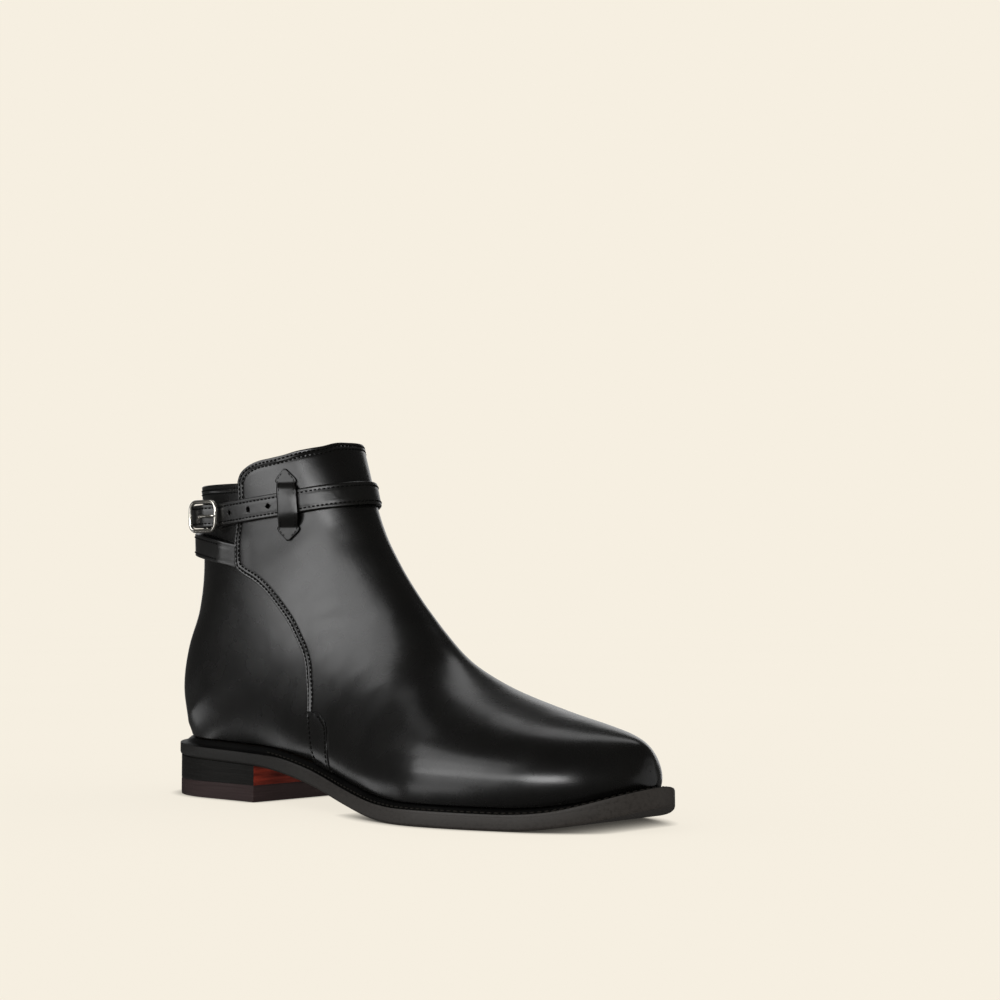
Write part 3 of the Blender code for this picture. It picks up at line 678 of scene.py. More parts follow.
def smooth(knots, values, at):
    """Value at any place on a smooth curve through the rows of a table, without overshoot."""
    knots = np.asarray(knots, float)
    values = np.asarray(values, float)
    at = np.asarray(at, float)
    lean = np.diff(values) / np.diff(knots)
    limit = 3 * np.minimum(np.abs(lean[:-1]), np.abs(lean[1:]))
    slope = np.gradient(values, knots)
    slope[1:-1] = np.where(lean[:-1] * lean[1:] > 0, np.clip(slope[1:-1], -limit, limit), 0)
    cell = np.clip(np.searchsorted(knots, at, side="right") - 1, 0, len(knots) - 2)
    span = knots[cell + 1] - knots[cell]
    s = (at - knots[cell]) / span
    rise = values[cell + 1] - values[cell]
    start = span * slope[cell] * s * (1 - s) ** 2
    end = span * slope[cell + 1] * s**2 * (s - 1)
    return values[cell] + rise * s * s * (3 - 2 * s) + start + end


def column(rows, name, at, knot="step", scale=1.0):
    """One named column of a table, read at any place between its rows."""
    knots = [getattr(row, knot) for row in rows]
    return scale * smooth(knots, [getattr(row, name) for row in rows], at)


def rounded(distance, reach):
    """Factor that closes a width in a round end over the given reach."""
    inside = np.clip(distance / reach, 0, 1)
    return np.sqrt(1 - (1 - inside) ** ROUND_POWER)


def plan_centre(x):
    return column(SOLE_PLAN, "centre", np.clip(x / SOLE_LENGTH, 0, 1), "share", MM)


def plan_half(x, inset, end=None, toe_end=None):
    """Half width of the outline that lies inset inside the sole's edge, and end inside its ends."""
    end = inset if end is None else end
    toe_end = end if toe_end is None else toe_end
    body = column(SOLE_PLAN, "half", np.clip(x / SOLE_LENGTH, 0, 1), "share", MM) - inset
    return body * rounded(x - end, HEEL_ROUND) * rounded(SOLE_LENGTH - toe_end - x, TOE_ROUND)


def sole_bottom(x):
    """Height of the underside of the outsole above the floor."""
    x = np.asarray(x, float)
    heel_slope = (HEEL_RISE_BREAST - HEEL_RISE_BACK) / BREAST_X
    seat = HEEL_RISE_BACK + heel_slope * x
    span = FLAT_START_X - BREAST_X
    s = np.clip((x - BREAST_X) / span, 0, 1)
    shank = HEEL_RISE_BREAST * (1 - s * s * (3 - 2 * s)) + heel_slope * span * s * (1 - s) ** 2
    toe = np.clip((x - FLAT_END_X) / (SOLE_LENGTH - FLAT_END_X), 0, None)
    return np.where(x < BREAST_X, seat, shank) + TOE_SPRING * toe**TOE_SPRING_POWER


def outsole_top(x):
    return sole_bottom(x) + OUTSOLE_THICK


def welt_bottom(x):
    return outsole_top(x) + GAP


def welt_top(x):
    return welt_bottom(x) + WELT_THICK


def feather(x):
    """Height of the line where the upper meets the welt."""
    return welt_top(x) + FEATHER_GAP


def stations(low, high, count):
    """Places along X, closer together towards both ends."""
    turn = np.linspace(0, math.pi, count)
    return low + (high - low) * (1 - np.cos(turn)) / 2


def base_point(step):
    """Lower end of the section at each step: down the toe, along the sole, up the back."""
    step = np.asarray(step, float)
    tip_x = SOLE_LENGTH - FEATHER_END
    along = (1 - np.cos(math.pi * np.clip(step - 1, 0, 1))) / 2
    flat_x = tip_x + (HEEL_FEATHER_END - tip_x) * along
    nose_x = SOLE_LENGTH - WIDEST_END
    drop = np.clip(step, 0, 1)
    toe_x = nose_x + (tip_x - nose_x) * drop**2
    toe_z = TOE_NOSE_Z + (feather(tip_x) - TOE_NOSE_Z) * drop
    back_x = column(BACK_LINE, "x", np.clip(step, CORNER_STEP, None), scale=MM)
    back_z = column(BACK_LINE, "z", np.clip(step, CORNER_STEP, None), scale=MM)
    x = np.where(step < 1, toe_x, np.where(step <= CORNER_STEP, flat_x, back_x))
    z = np.where(step < 1, toe_z, np.where(step <= CORNER_STEP, feather(flat_x), back_z))
    return x, z


def front_point(step):
    """Upper end of the section at each step, on the front ridge."""
    return column(SECTIONS, "front_x", step, scale=MM), column(SECTIONS, "front_z", step, scale=MM)


def side_curve(length, base_half, widest_half, widest, crown, seat):
    """Half a section from base to ridge: distance up the section and half width."""
    turn = np.linspace(0, math.pi / 2, FINE_SIDE)
    middle = widest * length
    share = np.clip(base_half / widest_half, 0, 1)
    reach = middle / (1 - share**2) ** (1 / seat)
    low = np.linspace(math.acos(share), 0, FINE_SIDE)
    low_up = middle - reach * np.sin(low) ** (2 / seat)
    high_up = middle + (length - middle) * np.sin(turn) ** (2 / crown)
    up = np.concatenate([low_up, high_up[1:]])
    half = widest_half * np.concatenate([np.cos(low), np.cos(turn[1:])])
    half[-1] = 0
    return up, half


def section(step, count):
    """Points of one section from the outer base over the ridge to the inner base."""
    base_x, base_z = (float(v) for v in base_point(step))
    front_x, front_z = (float(v) for v in front_point(step))
    crest = float(column(SECTIONS, "crest", step, scale=MM))
    spread, widest, crown, seat = (
        float(column(SECTIONS, name, step)) for name in ("spread", "widest", "crown", "seat")
    )
    length = max(math.hypot(front_x - base_x, front_z - base_z), SLIVER)
    widest_x = base_x + widest * (front_x - base_x)
    widest_half = spread * float(plan_half(widest_x, WIDEST_INSET, WIDEST_END))
    base_half = 0.0
    if TIP_STEP < step < CORNER_STEP:
        base_half = float(plan_half(base_x, FEATHER_INSET, HEEL_FEATHER_END, FEATHER_END))
    widest_half = max(widest_half, base_half * WIDEST_LEAST, SLIVER)
    up, half = side_curve(length, base_half, widest_half, widest, crown, seat)
    walk = walked(np.stack([up, half], 1))
    even = walk[-1] * np.linspace(0, 1, count // 2 + 1) ** BASE_CROWD
    up = np.interp(even, walk, up) / length
    half = np.interp(even, walk, half)
    middle = plan_centre(base_x) + (crest - plan_centre(base_x)) * up
    x = base_x + (front_x - base_x) * up
    z = base_z + (front_z - base_z) * up
    outer = np.stack([x, middle - half, z], 1)
    inner = np.stack([x, middle + half, z], 1)
    return np.concatenate([outer, inner[-2::-1]])


def even_toe(steps, points):
    """Evens out the rows round the toe's tip, where the fan of the nose meets the sections of the sole."""
    low, high = TOE_EVEN_STEPS
    rows = np.flatnonzero((steps > low) & (steps < high))
    for _ in range(TOE_EVEN_ROUNDS):
        points[rows] = (points[rows - 1] + 2 * points[rows] + points[rows + 1]) / 4


def surface_table():
    """Fine grid of the upper's outside with its outward directions."""
    toe = np.linspace(0, TIP_STEP, TABLE_TOE) ** TOE_CROWD
    sole = np.linspace(TIP_STEP, CORNER_STEP, TABLE_SOLE)
    back = np.linspace(CORNER_STEP, LAST_STEP, TABLE_BACK)
    steps = np.concatenate([toe, sole[1:], back[1:]])
    points = np.stack([section(step, TABLE_COLUMNS) for step in steps])
    base = np.stack(base_point(steps), 1)
    front = np.stack(front_point(steps), 1)
    points[0] = points[0].mean(axis=0)
    even_toe(steps, points)
    run = front - base
    length = np.maximum(dots(run, run), SLIVER**2)
    side = points[:, : TABLE_COLUMNS // 2 + 1, ::2] - base[:, None, :]
    ups = np.einsum("ijk,ik->ij", side, run) / length[:, None]
    normals = np.cross(np.gradient(points, axis=1), np.gradient(points, axis=0))
    normals[0] = normals[1].mean(axis=0)
    closed = steps > CORNER_STEP
    back_way = normals[closed, 0] + normals[closed, -1]
    back_way[:, 1] = 0
    normals[closed, 0] = back_way
    normals[closed, -1] = back_way
    return Table(steps, points, unit(normals), base, front, ups)


def on_upper(table, step, across, lift=0.0):
    """Places and outward directions at each step and share across, -1 at the outer base, 1 at the inner."""
    row = np.interp(step, table.steps, np.arange(len(table.steps)))
    col = (np.clip(across, -1, 1) + 1) / 2 * TABLE_COLUMNS
    way = unit(read_grid(table.normals, row, col))
    return read_grid(table.points, row, col) + np.asarray(lift)[..., None] * way, way


def side_place(table, x, z):
    """Step and share across, on the outer side, of places given in side view."""
    start = np.searchsorted(table.steps, 1)
    base = table.base[start:]
    run = table.front[start:] - base
    turn = run[:, 0, None] * (z - base[:, 1, None]) - run[:, 1, None] * (x - base[:, 0, None])
    first = np.argmax(turn < 0, axis=0)
    first = np.where((turn < 0).any(axis=0), np.maximum(first, 1), len(base) - 1)
    pick = np.arange(len(np.atleast_1d(x)))
    before = turn[first - 1, pick]
    after = turn[first, pick]
    share = np.clip(before / (before - after + SLIVER**3), 0, 1)
    step = table.steps[start + first - 1] * (1 - share) + table.steps[start + first] * share
    bx, bz = base_point(step)
    fx, fz = front_point(step)
    up = ((x - bx) * (fx - bx) + (z - bz) * (fz - bz)) / ((fx - bx) ** 2 + (fz - bz) ** 2)
    shares = np.linspace(-1, 0, TABLE_COLUMNS // 2 + 1)
    rows = start + first - np.where(share < 0.5, 1, 0)
    across = np.array([np.interp(u, table.ups[k], shares) for u, k in zip(up, rows)])
    return step, across


def seam_line(forward=0.0):
    """Points of the panel's rear edge in side view, moved to the front by a distance."""
    line = np.array([(row.x, row.z) for row in SEAM]) * MM
    walk = walked(line)
    at = np.linspace(0, walk[-1], SEAM_STEPS)
    x = smooth(walk, line[:, 0], at)
    z = smooth(walk, line[:, 1], at)
    along_x = np.gradient(x)
    along_z = np.gradient(z)
    size = np.hypot(along_x, along_z)
    return x + forward * along_z / size, z - forward * along_x / size


def edge_share(table, forward=0.0):
    """Function from step to the share across at the panel's rear edge, and the first step that has one."""
    x, z = seam_line(forward)
    step, across = side_place(table, x, z)
    order = np.argsort(step, kind="stable")
    step = step[order]
    share = -across[order]
    first = step[np.argmax(share < FULL_SHARE)]

    def share_at(at):
        return np.where(at < first, 1.0, np.interp(at, step, share))

    return share_at, first


def move(points):
    """Points of the boot in the shared frame."""
    return np.asarray(points, float) + SHIFT


def frame_shift():
    """Way from the boot's own places to the shared frame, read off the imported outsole."""
    low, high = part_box("outsole")
    x = np.linspace(0, SOLE_LENGTH, SEAM_STEPS)
    middle = ((plan_centre(x) - plan_half(x, 0)).min() + (plan_centre(x) + plan_half(x, 0)).max()) / 2
    return np.array([low.x, (low.y + high.y) / 2 - middle, 0.0])


SHIFT = frame_shift()


def mesh_of(name, points, faces, sharp=SHARP):
    """Smooth closed mesh with merged points and sharp edges above the given angle."""
    mesh = bpy.data.meshes.new(name)
    mesh.from_pydata(move(points).tolist(), [], faces)
    work = bmesh.new()
    work.from_mesh(mesh)
    bmesh.ops.remove_doubles(work, verts=work.verts, dist=MERGE)
    bmesh.ops.dissolve_degenerate(work, edges=work.edges, dist=MERGE)
    bmesh.ops.recalc_face_normals(work, faces=work.faces)
    work.to_mesh(mesh)
    work.free()
    mesh.polygons.foreach_set("use_smooth", np.ones(len(mesh.polygons), bool))
    mesh.set_sharp_from_angle(angle=math.radians(sharp))
    return mesh


def piece(name, mesh, material, slot, *nodes):
    """Piece that rides on the boot, takes the given material and stands for the named solids; the slot is not
    used.
    """
    item = bpy.data.objects.new(name, mesh)
    bpy.context.scene.collection.objects.link(item)
    for one in material if isinstance(material, (list, tuple)) else [material]:
        mesh.materials.append(one)
    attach(item, "root")
    if nodes:
        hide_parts(*nodes)
    return item


def ring_faces(sides, rings, start=0, joined=False):
    """Faces between rings of points that follow one another, the last joined to the first if asked."""
    faces = []
    for i in range(rings if joined else rings - 1):
        first = start + i * sides
        second = start + (i + 1) % rings * sides
        for k in range(sides):
            j = (k + 1) % sides
            faces.append((first + k, first + j, second + j, second + k))
    return faces


def end_faces(sides, rings, start=0):
    """Faces that close the first and the last of such rings."""
    last = start + (rings - 1) * sides
    return [tuple(reversed(range(start, start + sides))), tuple(range(last, last + sides))]


def grid_faces(rows, columns, start=0, flip=False):
    faces = []
    for i in range(rows - 1):
        for j in range(columns - 1):
            a = start + i * columns + j
            quad = (a, a + 1, a + columns + 1, a + columns)
            faces.append(quad[::-1] if flip else quad)
    return faces


def shell_faces(rows, columns, start=0):
    """Faces of a closed solid between an outer grid and the inner grid that follows it."""
    size = rows * columns
    faces = grid_faces(rows, columns, start) + grid_faces(rows, columns, start + size, True)
    rim = list(range(columns))
    rim += [i * columns + columns - 1 for i in range(1, rows)]
    rim += [(rows - 1) * columns + j for j in range(columns - 2, -1, -1)]
    rim += [i * columns for i in range(rows - 2, 0, -1)]
    for k, a in enumerate(rim):
        b = rim[(k + 1) % len(rim)]
        faces.append((start + a, start + a + size, start + b + size, start + b))
    return faces


def shell(name, outer, inner, sharp=SHARP):
    """Closed mesh between an outer and an inner grid."""
    rows, columns = outer.shape[:2]
    points = np.concatenate([outer.reshape(-1, 3), inner.reshape(-1, 3)])
    return mesh_of(name, points, shell_faces(rows, columns), sharp)


def crowded(count):
    """Shares from -1 to 1, closer together near both ends."""
    t = np.linspace(-1, 1, count)
    return CROWD * t * (3 - t * t) / 2 + (1 - CROWD) * t


def front_collar(place):
    """Height of the front panel's top edge; it stays high round the inner side of its front."""
    share = np.clip(place[..., 1] / COLLAR_AHEAD_Y, 0, 1) * eased(place[..., 0], *COLLAR_AHEAD_X)
    x = np.clip((place[..., 0] + COLLAR_AHEAD * share) / MM, FRONT_COLLAR[0].x, FRONT_COLLAR[-1].x)
    return column(FRONT_COLLAR, "z", x, "x", MM)


def rear_collar(place):
    return np.full(place.shape[:-1], REAR_COLLAR_Z)


def top_step(table, shares, width, top):
    """Step at which each column of a panel reaches its top edge."""
    low = np.full(len(shares), TOP_FIRST_STEP)
    high = np.full(len(shares), TOP_LAST_STEP)
    for _ in range(TOP_HALVINGS):
        middle = (low + high) / 2
        place, _ = on_upper(table, middle, shares * width(middle))
        above = place[:, 2] > top(place)
        high = np.where(above, middle, high)
        low = np.where(above, low, middle)
    return (low + high) / 2


def crease_lift(place):
    """Rise and fall of the leather at its creases, on both sides of the boot."""
    lift = np.zeros(place.shape[:-1])
    for row in CREASES:
        lean = math.radians(row.lean)
        x = place[..., 0] / MM - row.x
        z = place[..., 2] / MM - row.z
        along = x * math.cos(lean) + z * math.sin(lean)
        off = z * math.cos(lean) - x * math.sin(lean)
        ridge = CREASE_RIDGE_HIGH * bell(off - CREASE_RIDGE_OFF * row.wide, row.wide)
        lift += row.deep * MM * bell(along, row.reach) * (ridge - bell(off, row.wide))
    return lift


def strap_rise(place):
    """Swelling of the panel on the outer side, over the hidden start of the strap."""
    x = (place[..., 0] - RISE_X) / RISE_LONG
    z = (place[..., 2] - RISE_Z) / RISE_TALL
    return np.where(place[..., 1] < 0, RISE_HIGH * np.exp(-(x**4) - z**4), 0)


def rounded_edge(distance):
    """Fall of a cut edge towards its rim."""
    return EDGE_SQUARE * edge_fall(distance, EDGE_ROUND)


def distance_to(place, line):
    """Distance of each grid point from a line of points."""
    gap = np.empty(place.shape[:-1])
    for i, row in enumerate(place):
        gap[i] = np.linalg.norm(row[:, None, :] - line[None, :, :], axis=2).min(axis=1)
    return gap


def upper_slope(table, step, across, by_step, by_share):
    """Change of place on the upper with the step or the share across."""
    ahead, _ = on_upper(table, step + by_step, across + by_share)
    behind, _ = on_upper(table, step - by_step, across - by_share)
    return (ahead - behind) / (2 * NUDGE)


def inset_line(table, step, across, distance):
    """Line on the upper that runs at a distance to the left of a line of steps and shares."""
    for _ in range(INSET_PIECES):
        place, way = on_upper(table, step, across)
        by_step = upper_slope(table, step, across, NUDGE, 0)
        by_share = upper_slope(table, step, across, 0, NUDGE)
        inward = unit(np.cross(way, np.gradient(place, axis=0))) * distance / INSET_PIECES
        a = dots(by_step, by_step)
        b = dots(by_step, by_share)
        c = dots(by_share, by_share)
        d = dots(by_step, inward)
        e = dots(by_share, inward)
        size = a * c - b * b
        step = step + (c * d - b * e) / size
        across = across + (a * e - b * d) / size
    return step, across


def groove_lift(distance, lines):
    """Shallow grooves at stitch lines and the swelling between them, by distance from an edge."""
    lift = RIDGE_HIGH * bell(distance - sum(lines) / len(lines), GROOVE_WIDE)
    for line in lines:
        lift -= GROOVE_DEEP * bell(distance - line, GROOVE_WIDE)
    return lift


def top_distance(place):
    """Distance of each grid point from the last row, along its column."""
    length = np.linalg.norm(np.diff(place, axis=0), axis=2)
    walk = np.concatenate([np.zeros((1, place.shape[1])), np.cumsum(length, axis=0)], axis=0)
    return walk[-1:] - walk


def panel_grid(table):
    """Steps and shares of the front panel's grid, and the first row that has free side edges."""
    width, first = edge_share(table)
    shares = crowded(PANEL_COLUMNS + 1)
    top = top_step(table, shares, width, front_collar)
    low = np.linspace(0, 1, PANEL_LOW_ROWS) ** PANEL_LOW_CROWD * first
    rise = 1 - (1 - np.linspace(0, 1, PANEL_HIGH_ROWS)[1:]) ** PANEL_HIGH_CROWD
    high = first + rise[:, None] * (top - first)[None, :]
    steps = np.concatenate([np.repeat(low[:, None], len(shares), axis=1), high])
    return steps, shares[None, :] * width(steps), PANEL_LOW_ROWS - 1


def panel_outline(steps, across, row):
    """Free edge of the panel: up the outer side, over the collar and down the inner side."""
    parts = []
    for grid in (steps, across):
        parts.append(np.concatenate([grid[row:, 0], grid[-1, 1:], grid[-2 : row - 1 : -1, -1]]))
    return parts


def build_front_panel(table, leather, thread):
    """Vamp and high front of the shaft in one panel, lapped over the quarter along its rear edges."""
    steps, across, row = panel_grid(table)
    place, way = on_upper(table, steps, across)
    edge_steps, edge_across = panel_outline(steps, across, row)
    edge, _ = on_upper(table, edge_steps, edge_across)
    gap = distance_to(place, edge)
    lift = PANEL_LIFT + crease_lift(place) + strap_rise(place) + groove_lift(gap, SEAM_ROWS)
    outer = place + (lift - rounded_edge(gap))[..., None] * way
    inner = place + (PANEL_LIFT - PANEL_THICK) * way
    sewn = (np.arange(len(steps)) <= row) & (steps[:, 0] >= TIP_STEP)
    tuck_base(outer, sewn)
    tuck_base(inner, sewn)
    piece("front_panel", shell("front_panel", outer, inner), leather, "upper", "upper")
    rows = []
    for offset in SEAM_ROWS:
        line, ways = on_upper(table, *inset_line(table, edge_steps, edge_across, -offset))
        raised = PANEL_LIFT + strap_rise(line) - SINK
        keep = line[:, 2] > feather(line[:, 0]) + SEAM_FOOT
        rows.append(Row((line + raised[:, None] * ways)[keep], ways[keep]))
    stitches("panel_stitches", rows, thread, "upper")


def tuck_base(grid, rows):
    """Turns the lowest points of the chosen rows in and down to the welt."""
    for edge in (0, -1):
        middle = plan_centre(grid[rows, edge, 0])
        grid[rows, edge, 1] += np.sign(middle - grid[rows, edge, 1]) * TUCK_IN
        grid[rows, edge, 2] -= TUCK_DOWN


def quarter_width(width, spread):
    """Function from step to the quarter's shares across, from the back to under the front panel."""

    def share_at(step):
        return 1 - spread * (1 - width(step))

    return share_at


def build_rear_quarter(table, leather):
    """Rear quarter round the heel, lapped under the front panel on both sides."""
    width, first = edge_share(table, UNDERLAP)
    narrow = quarter_width(width, np.linspace(0, 1, QUARTER_COLUMNS + 1))
    rise = 1 - (1 - np.linspace(0, 1, QUARTER_ROWS)) ** QUARTER_CROWD
    points = []
    faces = []
    for side in (-1, 1):
        top = top_step(table, np.full(QUARTER_COLUMNS + 1, side), narrow, rear_collar)
        steps = first + rise[:, None] * (top - first)[None, :]
        place, way = on_upper(table, steps, side * narrow(steps))
        gap = top_distance(place)
        lift = QUARTER_LIFT + groove_lift(gap, COLLAR_ROWS) - rounded_edge(gap)
        faces += shell_faces(QUARTER_ROWS, QUARTER_COLUMNS + 1, len(points))
        for grid in (place + lift[..., None] * way, place + (QUARTER_LIFT - QUARTER_THICK) * way):
            points += grid[:, ::-side].reshape(-1, 3).tolist()
    mesh = mesh_of("rear_quarter", points, faces)
    return piece("rear_quarter", mesh, leather, "upper")


def build_lining(table, material):
    """Lining of the whole inside, a little lower than the collar edges."""
    shares = np.linspace(-1, 1, LINING_COLUMNS + 1)

    def whole(step):
        return np.ones_like(step)

    def top(place):
        return np.maximum(front_collar(place), REAR_COLLAR_Z) - LINING_DROP

    last = top_step(table, shares, whole, top)
    rise = np.linspace(0, 1, LINING_ROWS)
    steps = LINING_START + rise[:, None] * (last - LINING_START)[None, :]
    place, way = on_upper(table, steps, shares[None, :] + 0 * steps)
    outer = place + LINING_LIFT * way
    inner = place + (LINING_LIFT - LINING_THICK) * way
    return piece("lining", shell("lining", outer, inner), material, "insole")


def resample(line, pitch):
    """Places along a line at an even pitch, with their directions and shares of the line."""
    walk = walked(line)
    count = max(int(walk[-1] / pitch), 1)
    at = (np.arange(count) + 0.5) * walk[-1] / count
    near = pitch * LOOK_SHARE
    along = unit(read_line(at + near, walk, line) - read_line(at - near, walk, line))
    return read_line(at, walk, line), along, at / walk[-1]


def stitches(name, rows, material, slot, pitch=STITCH_PITCH, length=STITCH_LENGTH, wide=STITCH_WIDE):
    """Rows of thread stitches, each a small rounded bar half sunk in the leather."""
    stretch = np.array(STITCH_ALONG)[None, :, None, None] * length / 2
    thick = np.array(STITCH_THICK)[None, :, None, None] * wide / 2
    angles = np.linspace(0, 2 * math.pi, STITCH_SIDES, endpoint=False)[None, :, None]
    points = []
    for row in rows:
        place, along, share = resample(row.line, pitch)
        last = len(row.line) - 1
        way = read_line(share * last, np.arange(last + 1), row.ways)
        side = unit(np.cross(along, way))
        way = np.cross(side, along)
        spokes = np.cos(angles) * side[:, None, :] + np.sin(angles) * way[:, None, :]
        bars = place[:, None, None, :] + stretch * along[:, None, None, :] + thick * spokes[:, None, :, :]
        points.append(bars.reshape(-1, 3))
    points = np.concatenate(points)
    rings = len(STITCH_ALONG)
    faces = []
    for start in range(0, len(points), STITCH_SIDES * rings):
        faces += ring_faces(STITCH_SIDES, rings, start) + end_faces(STITCH_SIDES, rings, start)
    mesh = bpy.data.meshes.new(name)
    mesh.from_pydata(move(points).tolist(), [], faces)
    mesh.polygons.foreach_set("use_smooth", np.ones(len(mesh.polygons), bool))
    return piece(name, mesh, material, slot)


def build_collar_stitches(table, thread):
    """Two rows along the rear collar."""
    rows = []
    width, _ = edge_share(table)
    narrow = quarter_width(width, np.linspace(0, 1, COLLAR_STEPS))
    for offset in COLLAR_ROWS:
        halves = []
        for side in (-1, 1):
            sides = np.full(COLLAR_STEPS, side)
            step = top_step(table, sides, narrow, lambda place: rear_collar(place) - offset)
            halves.append(on_upper(table, step, side * narrow(step), QUARTER_LIFT - SINK))
        line, ways = (np.concatenate([first[::-1], second[1:]]) for first, second in zip(*halves))
        rows.append(Row(line, ways))
    return stitches("collar_stitches", rows, thread, "upper")


def tab_front(z):
    """Front edge of the seam tab in side view."""
    return column(TAB, "x", np.clip(z / MM, TAB[0].z, TAB[-1].z), "z", MM)


def build_seam_tab(table, leather, thread):
    """Rounded tab sewn over the foot of the panel's rear edge, on both sides."""
    seam_x, seam_z = seam_line(TAB_BACK)
    order = np.argsort(seam_z)
    z = np.linspace(TAB_FOOT, TAB_TOP, TAB_STEPS)
    rear = np.interp(z, seam_z[order], seam_x[order])
    front = np.maximum(tab_front(z), rear)
    share = (crowded(TAB_COLUMNS) + 1) / 2
    x = rear[:, None] + share[None, :] * (front - rear)[:, None]
    z = z[:, None] + 0 * x
    step, across = (grid.reshape(x.shape) for grid in side_place(table, x.ravel(), z.ravel()))
    rows = []
    for side, name in ((1, "lateral"), (-1, "medial")):
        place, way = on_upper(table, step, side * across)
        edge = np.concatenate([place[:, 0], place[-1], place[::-1, -1]])
        gap = distance_to(place, edge)
        lift = PANEL_LIFT + TAB_THICK - rounded_edge(gap) - GROOVE_DEEP * bell(gap - TAB_SEAM, GROOVE_WIDE)
        outer = place + lift[..., None] * way
        name = "seam_tab_" + name
        piece(name, shell(name, outer[:, ::side], place[:, ::side]), leather, "upper")
        for end, inset in ((-1, TAB_SEAM), (0, -TAB_SEAM)):
            line_at = inset_line(table, step[:, end], side * across[:, end], side * inset)
            line, ways = on_upper(table, *line_at)
            keep = line[:, 2] > feather(line[:, 0]) + SEAM_FOOT
            keep &= line[:, 2] < TAB_TOP - TAB_SEAM
            rows.append(Row((line + (PANEL_LIFT + TAB_THICK - SINK) * ways)[keep], ways[keep]))
    stitches("seam_tab_stitches", rows, thread, "upper")


def ankle_table(table):
    """Radius of the upper round the ankle axis, by height and turn."""
    chosen = table.steps > ANKLE_STEP
    grid = table.points[chosen]
    levels = np.linspace(ANKLE_LOW, ANKLE_HIGH, ANKLE_LEVELS)
    turns = np.linspace(0, 1, ANKLE_TURNS + 1)
    radii = []
    for level in levels:
        columns = range(grid.shape[1])
        x = np.array([np.interp(level, grid[:, k, 2], grid[:, k, 0]) for k in columns]) - AXIS_X
        y = np.array([np.interp(level, grid[:, k, 2], grid[:, k, 1]) for k in columns])
        turn = np.unwrap(np.arctan2(y, -x)[1:-1])[::-1] / (2 * math.pi)
        radius = np.hypot(x, y)[1:-1][::-1]
        turn = turn - round(turn.mean() - 0.5)
        radii.append(np.interp(turns, turn, radius, period=1))
    return levels, turns, np.array(radii)


def on_ankle(ankle, turn, z, lift):
    """Point at a turn and height, lifted off the leather."""
    levels, turns, radii = ankle
    turn = np.asarray(turn, float)
    level = np.clip((np.asarray(z) - levels[0]) / (levels[1] - levels[0]), 0, len(levels) - 1)
    radius = read_grid(radii, level, (turn % 1) * (len(turns) - 1)) + lift
    angle = 2 * math.pi * turn
    return np.stack([AXIS_X - radius * np.cos(angle), radius * np.sin(angle), z + 0 * turn], -1)


def strap_place(ankle, stops, turn, across, lift):
    """Places on a strap: across its width from its middle line, and lift above its underside."""
    ends = (stops[0].turn, stops[-1].turn)

    def height(at):
        return column(stops, "z", at, "turn", MM)

    inside = np.clip(turn, *ends)
    ahead = np.clip(inside + NUDGE, *ends)
    behind = np.clip(inside - NUDGE, *ends)
    start_rise = height(ends[0] + NUDGE) - height(ends[0])
    z = height(inside) + (turn - inside) / NUDGE * start_rise
    lean = np.arctan((height(ahead) - height(behind)) / ((ahead - behind) * MEAN_GIRTH))
    turn_at = turn - np.sin(lean) * across / MEAN_GIRTH
    under = column(stops, "lift", inside, "turn", MM)
    return on_ankle(ankle, turn_at, z + np.cos(lean) * across, under + lift)


def strap_mesh(name, ankle, stops, thick, steps, tip=0.0, skive=False):
    """Strap with rounded edges and stitch grooves; it can have a pointed end and a thin start."""
    turn = np.linspace(SKIVE_START if skive else stops[0].turn, stops[-1].turn, steps)
    left = (stops[-1].turn - turn) * MEAN_GIRTH
    narrow = np.clip(TIP_SHARE + (1 - TIP_SHARE) * left / tip, 0, 1) if tip else np.ones(steps)
    half = STRAP_WIDTH / 2 * narrow[:, None]
    across = crowded(STRAP_COLUMNS)[None, :] * half
    gap = half - np.abs(across)
    round_off = edge_fall(gap, STRAP_ROUND)
    groove = GROOVE_DEEP * bell(gap - STRAP_SEAM, GROOVE_WIDE)
    grown = np.ones((steps, 1))
    if skive:
        grown = eased(turn, SKIVE_START + SKIVE_EASE, SKIVE_END)[:, None]
    full = SKIVE_SHARE + (1 - SKIVE_SHARE) * grown
    sink = SKIVE_LIFT * (1 - grown)
    at = turn[:, None] + 0 * across
    over = strap_place(ankle, stops, at, across, sink + full * (thick - round_off - groove))
    under = strap_place(ankle, stops, at, across, sink + STRAP_UNDER_ROUND * full * round_off)
    return shell(name, over, under, STRAP_SHARP)


def cut_holes(item, ankle, stops, turns):
    """Punches round holes through a strap."""
    angles = np.linspace(0, 2 * math.pi, HOLE_SIDES, endpoint=False)[:, None]
    points = []
    faces = []
    for turn in turns:
        way = np.array([-math.cos(2 * math.pi * turn), math.sin(2 * math.pi * turn), 0])
        side = np.array([way[1], -way[0], 0])
        centre = strap_place(ankle, stops, np.array([turn]), np.zeros(1), np.array([STRAP_THICK / 2]))[0]
        spokes = np.cos(angles) * side + np.sin(angles) * np.array([0, 0, 1.0])
        faces += ring_faces(HOLE_SIDES, 2, len(points)) + end_faces(HOLE_SIDES, 2, len(points))
        for push in (-STRAP_THICK, STRAP_THICK):
            points += (centre + push * way + HOLE_RADIUS * spokes).tolist()
    tool = bpy.data.objects.new("punch", mesh_of("punch", points, faces))
    bpy.context.scene.collection.objects.link(tool)
    cut = item.modifiers.new("holes", "BOOLEAN")
    cut.operation = "DIFFERENCE"
    cut.solver = "EXACT"
    cut.object = tool
    bpy.context.view_layer.update()
    done = bpy.data.meshes.new_from_object(item.evaluated_get(bpy.context.evaluated_depsgraph_get()))
    item.modifiers.clear()
    item.data = done
    bpy.data.objects.remove(tool, do_unlink=True)


